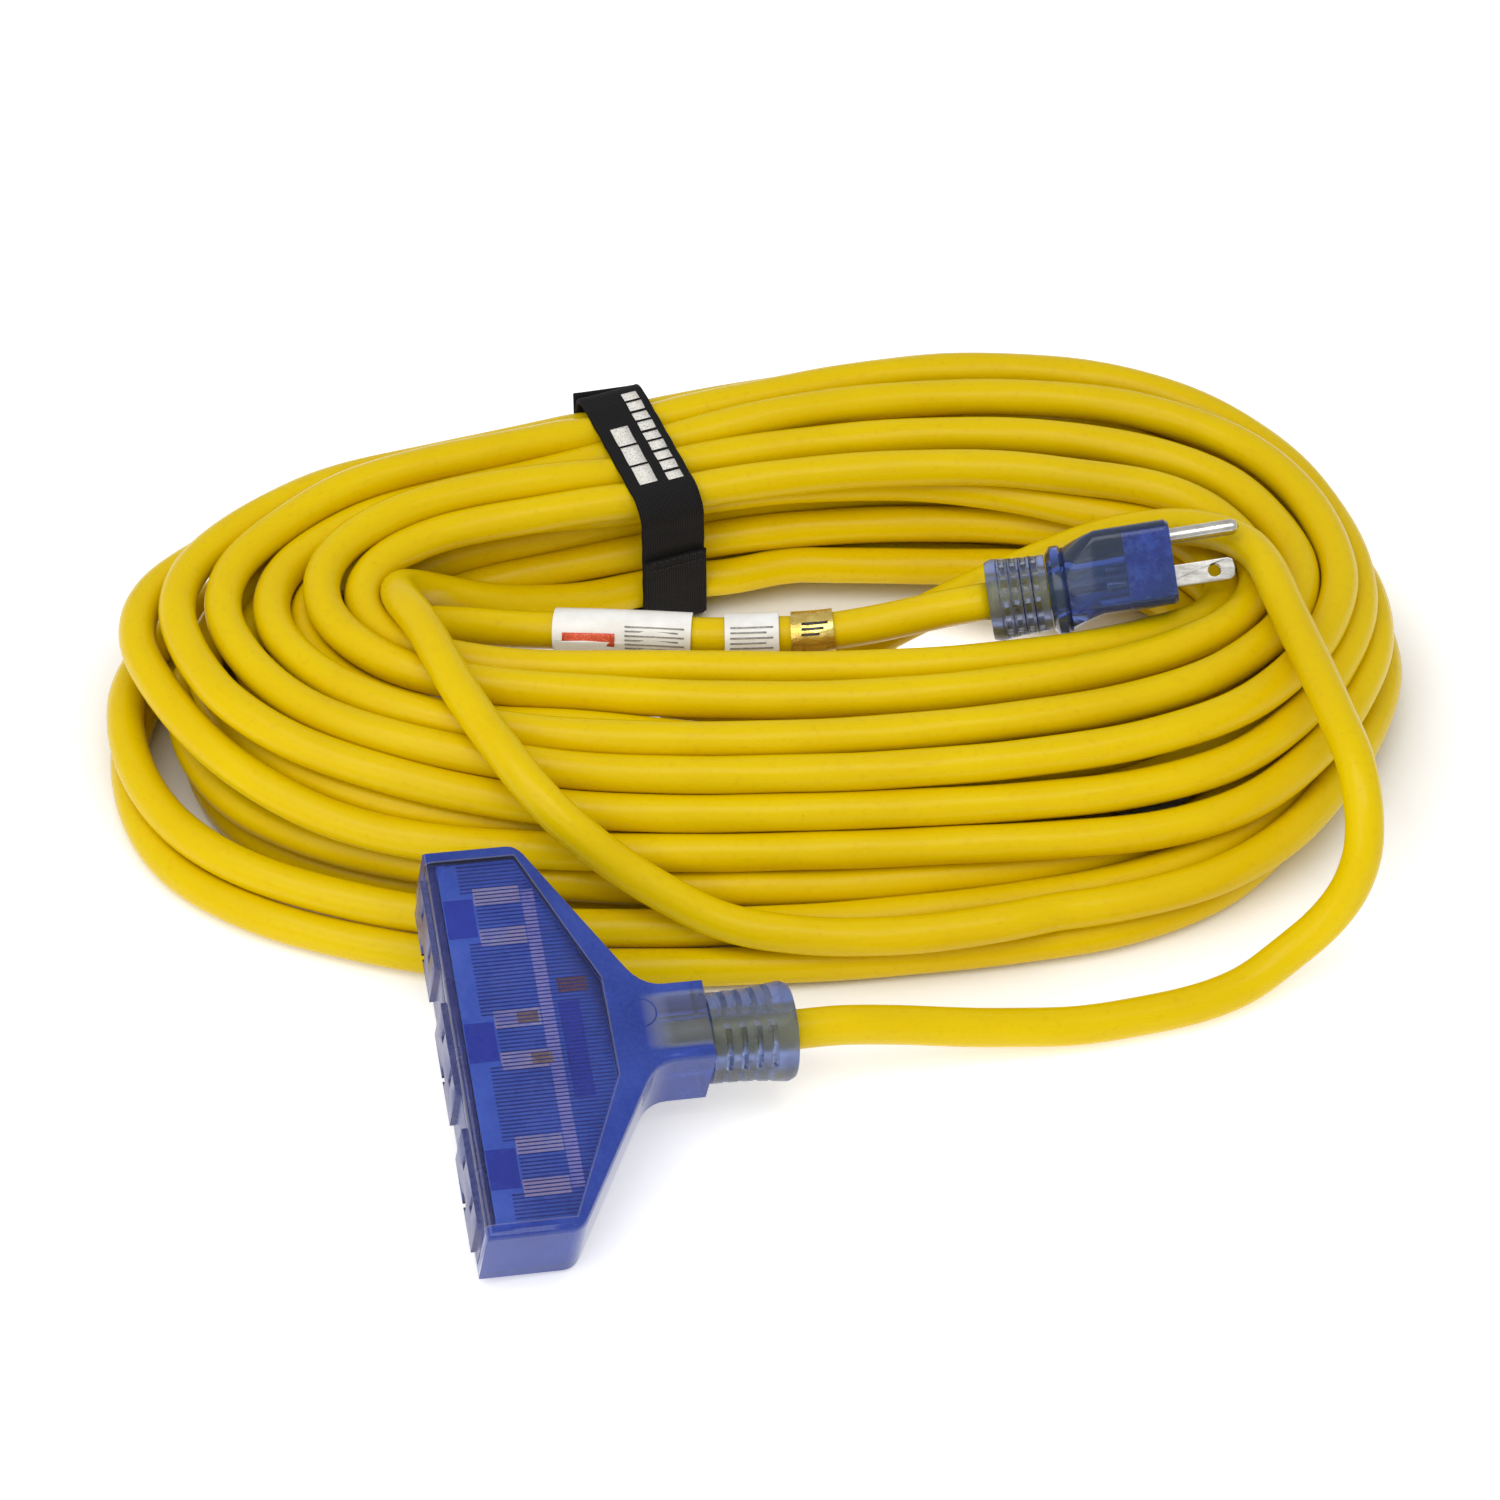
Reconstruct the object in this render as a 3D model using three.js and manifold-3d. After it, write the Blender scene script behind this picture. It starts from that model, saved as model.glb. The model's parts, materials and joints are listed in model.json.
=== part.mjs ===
// A heavy-duty grounded extension cord, wound into an oblong coil and held by a
// hook-and-loop strap. One end is a straight three-blade plug, the other a fan-shaped
// three-outlet socket block that leans on the coil.
//
// Millimetres, +Z up. +X runs along the coil's long axis and +Y runs away from the
// socket block. The assembly stands on z = 0, and the origin is the middle of its box.

import * as THREE from 'three';
import { mergeVertices } from 'three/addons/utils/BufferGeometryUtils.js';
import Module from 'manifold-3d';

const wasm = await Module();
wasm.setup();

// ---------------------------------------------------------------- driving dimensions

const GAP = 0.35;                       // clearance between touching pieces
const CORD_RADIUS = 5.6;                // jacketed cord, three 12-gauge conductors
const LEAD_RADIUS = 2.1;                // one insulated conductor
const EXIT_GAP = 0.8;                   // from a strain relief to the bent lead beyond it

// Middle of the assembled cord, in the coil's own coordinates.
const CENTRE = { x: 1.3, y: -53.8 };

// Coil: height, and closed guide lines through the middles of its outermost and
// innermost turns, at the base and in the top layer, anticlockwise from the right end.
const COIL_HEIGHT = 50;
const COIL_STATIONS = 60;
const OUTER_BASE = [[188, 5], [170, 60], [125, 95], [62, 106], [-10, 98], [-77, 82],
  [-140, 55], [-186, -5], [-163, -70], [-80, -102], [50, -101], [138, -76]];
const OUTER_TOP = [[183, 8], [172, 62], [128, 101], [62, 111], [-10, 98], [-77, 77],
  [-140, 50], [-180, 8], [-145, -42], [-62, -66], [50, -65], [140, -44]];
const INNER_TOP = [[151, 12], [134, 48], [96, 60], [52, 64], [-10, 61], [-60, 51],
  [-92, 36], [-106, 10], [-86, -14], [-40, -24], [50, -23], [118, -12]];
const INNER_BASE = [[142, 10], [124, 42], [95, 54], [52, 56], [-10, 54], [-60, 44],
  [-92, 30], [-106, 5], [-86, -20], [-40, -28], [50, -28], [112, -17]];

// Loose ends of the cord, where they are not coiled: the middle of the cord.
const SOCKET_LEAD = [[24, -141, 21.8], [37, -138, 18.5], [52, -134.5, 14], [70, -131, 9.6],
  [89, -128, 6.8], [107, -124, 6], [125, -119, 6], [140, -112, 7], [153, -105, 12],
  [164, -101, 20], [172, -97, 30], [176, -92, 41], [176, -84, 50], [174, -71, 56],
  [169, -55, 58], [164, -38, 58], [159, -22, 58], [154, -6, 58], [151, 6, 57.5],
  [147, 17, 56], [140, 26, 53], [130, 33, 49.5], [119, 37, 45.5], [107, 38, 41.5],
  [92, 36, 36.5], [74, 30, 31.5], [52, 21, 26], [32, 11, 21], [14, 1, 17.5], [-2, -8, 16],
  [-12, -15, 15.5]];
const PLUG_LEAD = [[57, 3, 44.5], [44, 2, 41.5], [32, 1, 39], [20, 0, 37.5], [5, 0, 36.5],
  [-12, 0, 36], [-28, 1, 36], [-44, 2, 36], [-58, 4, 34.5], [-72, 7, 32.5], [-86, 11, 30],
  [-97.5, 14.5, 27.5]];

// Socket block, in its own axes: x from the outlet face towards the cord, y along the
// row of outlets, z through its thickness.
const HEAD = {
  place: [-84.3, -160.2, 17.7], yaw: 10.6, tilt: 15.7, dip: 5.1,
  halfLength: 59, thickness: 28, endDepth: 26, shoulderX: 50.7, shoulderY: 17.7,
  neckX: 60, neckHalf: 12, neckEnd: 71, tail: 95, round: 2,
};
const INSERT = { wall: 3.4, half: 55.2, straight: 25, rearX: 43, rearHalf: 15 };
const OUTLET_PITCH = 38.1;
const OUTLET_CENTRES = [-OUTLET_PITCH, 0, OUTLET_PITCH];
const BLADE_SPACING = 12.7;             // middle of line slot to middle of neutral slot
const GROUND_OFFSET = 11.9;             // blade line to the middle of the ground pin
const SLOT = { z: 19, width: 2.4, line: 6.9, neutral: 8.4, ground: 2.7 };

// Plug, in its own axes: x along the cord towards the blades, y towards the ground
// pin, z towards the line blade. Its front face is at x = 0.
const PLUG = {
  front: [124, 7, 55], back: [70, 4, 46.5], faceTowards: [0, -1, 1],
  tail: -55, bodyStart: -37, collar: 13.3, waist: 12.2, blockStart: -22,
  blockOffset: 3.4, blockHalfY: 12.5, blockHalfZ: 13, corner: 3.5,
};
const BLADE = { length: 17.5, width: 6.35, thick: 1.5, hole: 1.9, holeAt: 11.5, root: 8 };
const PIN = { length: 20.6, radius: 2.38, bore: 1.2, root: 8 };

// Strain reliefs: outer radius where they leave the moulding and at their tail.
const RELIEF = { slim: 11.2, flare: 12.2, slits: 4, slitWidth: 1.7, slitLength: 12 };
const HEAD_RELIEF = { slim: 12.6, flare: 14 };

// Strap round the far run: its middle, and the direction in plan in which it crosses.
const STRAP = {
  middle: [-36, 75], across: [0.36, -0.93], width: 20, thick: 1.6, corner: 7,
  outer: -24, inner: 33, bottom: 0.4, top: 48, seam: 30,
};
const TAB = { thick: 1.5, hinge: 12, end: 46, skew: 4 };

// Labels on the plug's lead: first and last x of each.
const FLAG_LABEL = [-58, -18];
const WRAP_LABEL = [-8, 8];
const FOIL_LABEL = [12, 24];

// ------------------------------------------------------------------------- materials

const paint = (color, roughness, metalness = 0, opacity = 1) => () =>
  new THREE.MeshStandardMaterial({
    color, roughness, metalness, opacity, transparent: opacity < 1,
  });
const translucentBlue = paint(0x4a5cb8, 0.35, 0, 0.75);
const clearInsert = paint(0xb9b4dc, 0.3, 0, 0.7);
const jacketYellow = paint(0xe6cf05, 0.42);
const nickel = paint(0xc9c7c0, 0.25, 1);
const brass = paint(0xc79a55, 0.35, 1);
const insulationBlack = paint(0x1c1c1e, 0.5);
const insulationWhite = paint(0xe8e6df, 0.5);
const insulationGreen = paint(0x1e7d48, 0.5);
const webbing = paint(0x17161a, 0.95);
const paper = paint(0xf2f1ec, 0.6);
const foil = paint(0xc9a24a, 0.3, 0.8);
const glass = paint(0xe8a060, 0.1, 0, 0.6);
const ceramic = paint(0xc9b58c, 0.6);

// --------------------------------------------------------------------------- helpers

/** A closed geometry as a manifold-3d solid. */
function solid(geometry) {
  const bare = geometry.clone();
  bare.deleteAttribute('normal');
  bare.deleteAttribute('uv');
  const merged = mergeVertices(bare, 1e-4);
  return new wasm.Manifold(new wasm.Mesh({
    numProp: 3,
    vertProperties: new Float32Array(merged.attributes.position.array),
    triVerts: new Uint32Array(merged.index.array),
  }));
}

/** A manifold-3d solid as a three.js geometry. */
function geometryOf(body) {
  const mesh = body.getMesh();
  const geometry = new THREE.BufferGeometry();
  geometry.setAttribute('position', new THREE.BufferAttribute(mesh.vertProperties, 3));
  geometry.setIndex(new THREE.BufferAttribute(mesh.triVerts, 1));
  return geometry;
}

const cut = (body, tools) =>
  geometryOf(tools.reduce((left, tool) => left.subtract(solid(tool)), solid(body)));
const join = (bodies) =>
  geometryOf(bodies.slice(1).reduce((sum, body) => sum.add(solid(body)), solid(bodies[0])));

/** A box from its lowest to its highest corner. */
function box([x0, y0, z0], [x1, y1, z1]) {
  const geometry = new THREE.BoxGeometry(x1 - x0, y1 - y0, z1 - z0);
  return geometry.translate((x0 + x1) / 2, (y0 + y1) / 2, (z0 + z1) / 2);
}

/** A round bar along X from x0 to x1. */
function barX(radius, x0, x1, y = 0, z = 0, sides = 16) {
  const geometry = new THREE.CylinderGeometry(radius, radius, x1 - x0, sides);
  return geometry.rotateZ(Math.PI / 2).translate((x0 + x1) / 2, y, z);
}

/** A plan outline raised along Z from z0 to z1. */
function prism(outline, z0, z1) {
  const shape = new THREE.Shape(outline.map(([x, y]) => new THREE.Vector2(x, y)));
  const geometry = new THREE.ExtrudeGeometry(shape, { depth: z1 - z0, bevelEnabled: false });
  return geometry.translate(0, 0, z0);
}

/** A round tube of solid section along a smooth curve through the points. */
function tube(points, radius, steps, sides = 10) {
  const section = new THREE.Shape();
  for (let i = 0; i < sides; i += 1) {
    const angle = (2 * Math.PI * i) / sides;
    const corner = [radius * Math.cos(angle), radius * Math.sin(angle)];
    if (i === 0) section.moveTo(...corner);
    else section.lineTo(...corner);
  }
  const path = new THREE.CatmullRomCurve3(points.map((p) => new THREE.Vector3(...p)));
  return new THREE.ExtrudeGeometry(section, { steps, extrudePath: path, bevelEnabled: false });
}

/** A skin through sections of equal point count: a ring if closed, else with flat ends. */
function loft(sections, closed = false) {
  const count = sections[0].length;
  const position = sections.flat().flatMap((p) => [p.x, p.y, p.z]);
  const index = [];
  const rows = closed ? sections.length : sections.length - 1;
  for (let i = 0; i < rows; i += 1) {
    const next = (i + 1) % sections.length;
    for (let j = 0; j < count; j += 1) {
      const k = (j + 1) % count;
      const [a, b] = [i * count + j, i * count + k];
      const [c, d] = [next * count + k, next * count + j];
      index.push(a, b, c, a, c, d);
    }
  }
  if (!closed) {
    const last = (sections.length - 1) * count;
    for (let j = 1; j < count - 1; j += 1) {
      index.push(0, j + 1, j, last, last + j, last + j + 1);
    }
  }
  const geometry = new THREE.BufferGeometry();
  geometry.setAttribute('position', new THREE.Float32BufferAttribute(position, 3));
  geometry.setIndex(index);
  return geometry;
}

/** A strain relief along X: a flared sleeve with rows of slits on its four diagonals. */
function strainRelief(start, tail, slim, flare) {
  const bore = CORD_RADIUS + GAP;
  const profile = [[bore, start], [slim, start], [slim + 0.3, (start + tail) / 2],
    [flare, tail - Math.sign(tail - start) * 2], [flare - 0.8, tail], [bore, tail]];
  const points = [...profile, profile[0]].map(([r, x]) => new THREE.Vector2(r, x));
  if (tail < start) points.reverse();
  const sleeve = new THREE.LatheGeometry(points, 32).rotateZ(-Math.PI / 2);
  const slits = [];
  const pitch = (tail - start) / (RELIEF.slits + 1.6);
  for (let row = 0; row < RELIEF.slits; row += 1) {
    const x = start + pitch * (row + 1);
    for (let side = 0; side < 4; side += 1) {
      const slit = new THREE.BoxGeometry(RELIEF.slitWidth, RELIEF.slitLength, 10);
      slit.translate(0, 0, CORD_RADIUS + 5 + 1.5).rotateX(Math.PI / 4 + side * Math.PI / 2);
      slits.push(slit.translate(x, 0, 0));
    }
  }
  return cut(sleeve, slits);
}

const assembly = new THREE.Group();

/** Adds a named mesh to a group. */
function add(group, name, geometry, material) {
  const mesh = new THREE.Mesh(geometry, material());
  mesh.name = name;
  group.add(mesh);
}

// ---------------------------------------------------------------------- socket block

const head = new THREE.Group();
head.position.set(...HEAD.place);
const radians = THREE.MathUtils.degToRad;
head.rotation.set(radians(HEAD.tilt), radians(HEAD.dip), radians(HEAD.yaw), 'ZXY');
assembly.add(head);

const midZ = HEAD.thickness / 2;
const mirrored = (points) => [...points, ...points.map(([x, y]) => [x, -y]).reverse()];

/** Fan-shaped overmould, bevelled all round, with its pocket and its cable channel. */
function socketShell() {
  const h = HEAD;
  const shape = new THREE.Shape();
  shape.moveTo(0, -h.halfLength);
  shape.lineTo(h.endDepth - 3, -h.halfLength);
  shape.quadraticCurveTo(h.endDepth, -h.halfLength, h.endDepth + 2, 3 - h.halfLength);
  shape.lineTo(h.shoulderX, -h.shoulderY);
  shape.quadraticCurveTo(h.shoulderX + 3.5, -h.neckHalf, h.neckX, -h.neckHalf);
  shape.lineTo(h.neckEnd, -h.neckHalf);
  shape.lineTo(h.neckEnd, h.neckHalf);
  shape.lineTo(h.neckX, h.neckHalf);
  shape.quadraticCurveTo(h.shoulderX + 3.5, h.neckHalf, h.shoulderX, h.shoulderY);
  shape.lineTo(h.endDepth + 2, h.halfLength - 3);
  shape.quadraticCurveTo(h.endDepth, h.halfLength, h.endDepth - 3, h.halfLength);
  shape.lineTo(0, h.halfLength);
  const body = new THREE.ExtrudeGeometry(shape, {
    depth: h.thickness - 2 * h.round, bevelEnabled: true, bevelThickness: h.round,
    bevelSize: h.round, bevelOffset: -h.round, bevelSegments: 2, curveSegments: 5,
  }).translate(0, 0, h.round);
  const pocket = prism(insertOutline(GAP, -1), INSERT.wall, h.thickness - INSERT.wall);
  const channel = box([INSERT.rearX - 1, -9, 6], [h.neckX - 3, 9, 22]);
  const cable = barX(CORD_RADIUS + GAP, h.neckX - 4, h.neckEnd + 1, 0, midZ);
  return cut(body, [pocket, channel, cable]);
}

/** Plan outline of the insert, grown by a margin, from a given front edge. */
function insertOutline(margin, front) {
  const i = INSERT;
  return mirrored([[front, -i.half - margin], [i.straight + margin, -i.half - margin],
    [i.rearX + margin, -i.rearHalf - margin]]);
}

/** Front plate of the insert: blade slots and ground holes, each outlet on a raised boss. */
function outletFace() {
  const [z0, z1] = [INSERT.wall + GAP, HEAD.thickness - INSERT.wall - GAP];
  const bosses = OUTLET_CENTRES.map((y) => box([-1.4, y - 14, z0 + 0.8], [1, y + 14, z1 - 0.8]));
  const plate = join([box([0, -INSERT.half, z0], [3, INSERT.half, z1]), ...bosses]);
  const holes = OUTLET_CENTRES.flatMap((y) => {
    const slot = (dy, height) => box(
      [-2, y + dy - SLOT.width / 2, SLOT.z - height / 2],
      [4, y + dy + SLOT.width / 2, SLOT.z + height / 2],
    );
    return [slot(BLADE_SPACING / 2, SLOT.line), slot(-BLADE_SPACING / 2, SLOT.neutral),
      barX(SLOT.ground, -2, 4, y, SLOT.z - GROUND_OFFSET, 12)];
  });
  return cut(plate, holes);
}

const LINE_BUS = { x: 25, z: [20.4, 23] };
const NEUTRAL_BUS = { x: 27.7, z: [15, 17.6] };
const GROUND_BUS = { x: 25, z: [5.6, 8.6] };

/** Rear part of the insert: contact chambers, bus channels and the room for the leads. */
function insertBody() {
  const [z0, z1] = [INSERT.wall + GAP, HEAD.thickness - INSERT.wall - GAP];
  const body = prism(insertOutline(0, 3 + GAP), z0, z1);
  const chambers = OUTLET_CENTRES.flatMap((y) => [
    box([3, y + BLADE_SPACING / 2 - 3, 14], [26, y + BLADE_SPACING / 2 + 3, 23.7]),
    box([3, y - BLADE_SPACING / 2 - 3, 14], [28, y - BLADE_SPACING / 2 + 3, 23.7]),
    box([3, y - 4, 4.6], [26, y + 4, 11]),
  ]);
  const busRoom = [box([24.4, -47, 14.4], [29.4, 47, 23.6]), box([24.4, -42, 4.8], [26.6, 42, 9.4])];
  const leadRoom = [box([25, -9, 4.4], [46, 9, 23.7]), box([32, 8, 8], [38, 23, 21])];
  return cut(body, [...chambers, ...busRoom, ...leadRoom]);
}

/** A bus bar along the block with a two-leaf contact for each outlet. */
function busBar(bus, dy, [leafZ0, leafZ1], leafGap, leafEnd) {
  const leaf = 0.8;
  const ends = OUTLET_CENTRES.map((y) => y + dy);
  const pieces = [box([bus.x, ends[0] - 1.6, bus.z[0]], [bus.x + 1, ends[2] + 1.6, bus.z[1]])];
  for (const y of ends) {
    for (const side of [-1, 1]) {
      const inner = side * leafGap / 2;
      const [y0, y1] = [Math.min(inner, inner + side * leaf), Math.max(inner, inner + side * leaf)];
      pieces.push(box([8, y + y0, leafZ0], [leafEnd, y + y1, leafZ1]));
    }
    const half = leafGap / 2 + leaf;
    pieces.push(box([leafEnd - 2, y - half, leafZ0], [leafEnd - 1, y + half, leafZ1]));
    pieces.push(box([leafEnd - 1.5, y - half, bus.z[0]], [bus.x + 0.5, y + half, bus.z[1]]));
  }
  return join(pieces);
}

add(head, 'socket_shell', socketShell(), translucentBlue);
add(head, 'socket_strain_relief',
  strainRelief(HEAD.neckEnd + GAP, HEAD.tail, HEAD_RELIEF.slim, HEAD_RELIEF.flare)
    .translate(0, 0, midZ), translucentBlue);
add(head, 'socket_outlet_face', outletFace(), clearInsert);
add(head, 'socket_contact_carrier', insertBody(), clearInsert);
add(head, 'socket_line_bus', busBar(LINE_BUS, BLADE_SPACING / 2, [15, 23], 1.7, 24), brass);
add(head, 'socket_neutral_bus',
  busBar(NEUTRAL_BUS, -BLADE_SPACING / 2, [15, 23], 1.7, 24), brass);
add(head, 'socket_ground_bus', busBar(GROUND_BUS, 0, [5, 9.6], 4.4, 24), brass);

// The three conductors fan out from the end of the jacket to their bus bars.
const HEAD_LEADS = [
  ['black', [3.2, 16], [[26.4, 5.6, 21.3], [33, 5.6, 21.3]], insulationBlack],
  ['white', [-3.2, 16], [[29.1, -5.6, 16.3], [35, -5.6, 16.3]], insulationWhite],
  ['green', [0, 10.4], [[26.4, 0, 7.1], [34, 0, 7.1]], insulationGreen],
];
for (const [colour, [y, z], path, material] of HEAD_LEADS) {
  const route = [...path, [44, (path[0][1] + y) / 2, (path[0][2] + z) / 2], [50, y, z], [55.5, y, z]];
  add(head, `socket_lead_${colour}`, tube(route, LEAD_RADIUS, 12, 8), material);
}
const jacketEnd = barX(CORD_RADIUS, HEAD.neckX - 4 + GAP, HEAD.tail, 0, midZ, 12);
add(head, 'cord_end_in_socket', jacketEnd, jacketYellow);

// Power indicator lamp with its series resistor.
const lamp = new THREE.CapsuleGeometry(2.4, 5, 3, 10).translate(35, 16.5, 16.5);
add(head, 'indicator_lamp', lamp, glass);
const resistor = new THREE.CylinderGeometry(1.3, 1.3, 8, 8).translate(35, 16.5, 10.6);
add(head, 'lamp_resistor', resistor, ceramic);

// ------------------------------------------------------------------------------ plug

const plug = new THREE.Group();
const plugFront = new THREE.Vector3(...PLUG.front);
const plugX = plugFront.clone().sub(new THREE.Vector3(...PLUG.back)).normalize();
const plugY = new THREE.Vector3(...PLUG.faceTowards).cross(plugX).normalize();
plug.position.copy(plugFront);
plug.setRotationFromMatrix(
  new THREE.Matrix4().makeBasis(plugX, plugY, plugX.clone().cross(plugY)),
);
assembly.add(plug);

/** A section across the plug: a rectangle with round corners, or a circle. */
function plugSection(x, middleY, halfY, halfZ, corner) {
  const points = [];
  const perCorner = 5;
  for (let quarter = 0; quarter < 4; quarter += 1) {
    const cy = (quarter === 0 || quarter === 3 ? 1 : -1) * (halfY - corner);
    const cz = (quarter < 2 ? 1 : -1) * (halfZ - corner);
    for (let i = 0; i < perCorner; i += 1) {
      const angle = (quarter + i / (perCorner - 1)) * Math.PI / 2;
      points.push(new THREE.Vector3(x, middleY + cy + corner * Math.cos(angle),
        cz + corner * Math.sin(angle)));
    }
  }
  return points;
}

/** Plug moulding: collar ring, waist and front block, with a pocket and a channel. */
function plugBody() {
  const p = PLUG;
  const round = (x, r) => plugSection(x, 0, r, r, r - 0.01);
  const block = (x, shrink) => plugSection(x, p.blockOffset, p.blockHalfY - shrink,
    p.blockHalfZ - shrink, p.corner);
  const body = loft([round(p.bodyStart, RELIEF.slim), round(p.bodyStart + 1.5, p.collar),
    round(p.bodyStart + 4, p.collar), round(p.bodyStart + 5, p.waist),
    plugSection(-28, p.blockOffset / 2, p.waist, p.waist, 7),
    block(p.blockStart, 0.2), block(-1.2, 0), block(0, 0.9)]);
  const pocket = box([-14, -6.5, -10.5], [1, 13.5, 10.5]);
  const channel = barX(7.6, p.bodyStart + 6, -13, 0, 0, 20);
  const cable = barX(CORD_RADIUS + GAP, p.bodyStart - 1, p.bodyStart + 7);
  return cut(body, [pocket, channel, cable]);
}

const bladeY = -1;
const pinY = bladeY + GROUND_OFFSET;
const bladeZ = BLADE_SPACING / 2;

/** Blade holder inside the front of the plug. */
function plugInsert() {
  const body = box([-14 + GAP, -6.5 + GAP, -10.5 + GAP], [-0.2, 13.5 - GAP, 10.5 - GAP]);
  const slots = [-bladeZ, bladeZ].map((z) => box(
    [-15, bladeY - BLADE.width / 2 - GAP, z - BLADE.thick / 2 - GAP],
    [1, bladeY + BLADE.width / 2 + GAP, z + BLADE.thick / 2 + GAP],
  ));
  return cut(body, [...slots, barX(PIN.radius + GAP, -15, 1, pinY, 0)]);
}

/** A flat blade with a rounded tip and its hole. */
function blade(z) {
  const w = BLADE.width / 2;
  const outline = [[-BLADE.root, -w], [BLADE.length - 1.6, -w], [BLADE.length - 0.4, -w + 0.7],
    [BLADE.length, 0], [BLADE.length - 0.4, w - 0.7], [BLADE.length - 1.6, w], [-BLADE.root, w]];
  const body = prism(outline, -BLADE.thick / 2, BLADE.thick / 2);
  const hole = new THREE.CylinderGeometry(BLADE.hole, BLADE.hole, 4, 14).rotateX(Math.PI / 2);
  return cut(body, [hole.translate(BLADE.holeAt, 0, 0)]).translate(0, bladeY, z);
}

/** Ground pin rolled from sheet: a tube with a dome end, open along its underside. */
function groundPin() {
  const profile = [[0, -PIN.root], [PIN.radius, -PIN.root], [PIN.radius, PIN.length - 2.2],
    [PIN.radius * 0.75, PIN.length - 0.8], [0, PIN.length]];
  const round = new THREE.LatheGeometry(profile.map(([r, x]) => new THREE.Vector2(r, x)), 18);
  const pin = round.rotateZ(-Math.PI / 2);
  const slot = box([-PIN.root - 1, -PIN.radius - 1, -0.5], [PIN.length - 4, 0, 0.5]);
  const bore = barX(PIN.bore, -PIN.root - 1, PIN.length - 4, 0, 0, 10);
  return cut(pin, [slot, bore]).translate(0, pinY, 0);
}

add(plug, 'plug_body', plugBody(), translucentBlue);
add(plug, 'plug_strain_relief',
  strainRelief(PLUG.bodyStart - GAP, PLUG.tail, RELIEF.slim, RELIEF.flare), translucentBlue);
add(plug, 'plug_blade_holder', plugInsert(), clearInsert);
add(plug, 'plug_blade_line', blade(bladeZ), nickel);
add(plug, 'plug_blade_neutral', blade(-bladeZ), nickel);
add(plug, 'plug_ground_pin', groundPin(), nickel);

// Each blade root carries a crimp barrel that grips its conductor.
const CRIMPS = [['line', bladeY, bladeZ - 1.6, 'black', insulationBlack],
  ['neutral', bladeY, -bladeZ + 1.6, 'white', insulationWhite],
  ['ground', 4.7, 0, 'green', insulationGreen]];
for (const [name, y, z, colour, material] of CRIMPS) {
  add(plug, `plug_crimp_${name}`, barX(2, -20, -14.3, y, z, 10), brass);
  const spread = 0.66;
  const route = [[-20.35, y, z], [-23, y, z], [-27, (y - 0.4) * spread, z * spread],
    [-30.5, (y - 0.6) * spread, z * spread]];
  add(plug, `plug_lead_${colour}`, tube(route, 1.5, 6, 8), material);
}
const plugJacketEnd = barX(CORD_RADIUS, PLUG.tail, PLUG.bodyStart + 5.8, 0, 0, 12);
add(plug, 'cord_end_in_plug', plugJacketEnd, jacketYellow);

// ------------------------------------------------------------------------------ cord

const closedCurve = (points) => new THREE.CatmullRomCurve3(
  points.map(([x, y]) => new THREE.Vector3(x, y, 0)), true, 'catmullrom', 0.5,
);
const guides = {
  outerBase: closedCurve(OUTER_BASE), outerTop: closedCurve(OUTER_TOP),
  innerTop: closedCurve(INNER_TOP), innerBase: closedCurve(INNER_BASE),
};

/** Section across the coil at a station: a mound whose top leans away from the block. */
function coilSection(t) {
  const outerBase = guides.outerBase.getPoint(t);
  const outerTop = guides.outerTop.getPoint(t);
  const innerTop = guides.innerTop.getPoint(t);
  const innerBase = guides.innerBase.getPoint(t);
  const out = outerBase.clone().sub(innerBase).normalize();
  const at = (point, beyond, z) => point.clone().addScaledVector(out, beyond).setZ(z);
  const lean = (share) => outerBase.clone().lerp(outerTop, share);
  const r = CORD_RADIUS;
  return [at(innerBase, -r, 0), at(innerBase, -r, 8), at(innerTop, -0.7 * r, 44),
    at(innerTop, 0, COIL_HEIGHT), at(outerTop, 0, COIL_HEIGHT), at(outerTop, 0.7 * r, 44),
    at(lean(0.5), 0.9 * r, 33), at(lean(0.2), r, 19), at(outerBase, r, 8),
    at(outerBase, r, 0)];
}

// The strap's own axes: x across the run towards the hole, y up, z along the run.
const strap = new THREE.Group();
const across = new THREE.Vector3(...STRAP.across, 0).normalize();
const upward = new THREE.Vector3(0, 0, 1);
strap.position.set(...STRAP.middle, 0);
strap.setRotationFromMatrix(
  new THREE.Matrix4().makeBasis(across, upward, across.clone().cross(upward)),
);
assembly.add(strap);
strap.updateMatrix();

/** The strap's loop as a shape, grown outwards by a margin. */
function loopShape(margin) {
  const [x0, x1] = [STRAP.outer - margin, STRAP.inner + margin];
  const [y0, y1] = [STRAP.bottom + STRAP.thick - margin, STRAP.top + margin];
  const r = STRAP.corner;
  const shape = new THREE.Shape();
  shape.moveTo(x0 + 2, y0);
  shape.lineTo(x1 - 2, y0);
  shape.quadraticCurveTo(x1, y0, x1, y0 + 2);
  shape.lineTo(x1, y1 - r);
  shape.quadraticCurveTo(x1, y1, x1 - r, y1);
  shape.lineTo(x0 + r, y1);
  shape.quadraticCurveTo(x0, y1, x0, y1 - r);
  shape.lineTo(x0, y0 + 2);
  shape.quadraticCurveTo(x0, y0, x0 + 2, y0);
  return shape;
}

/** A band between two margins of the loop, as wide as asked, centred on the strap. */
function band(innerMargin, outerMargin, width) {
  const shape = loopShape(outerMargin);
  shape.holes.push(loopShape(innerMargin));
  const geometry = new THREE.ExtrudeGeometry(shape, {
    depth: width, bevelEnabled: false, curveSegments: 5,
  });
  return geometry.translate(0, 0, -width / 2);
}

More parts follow.
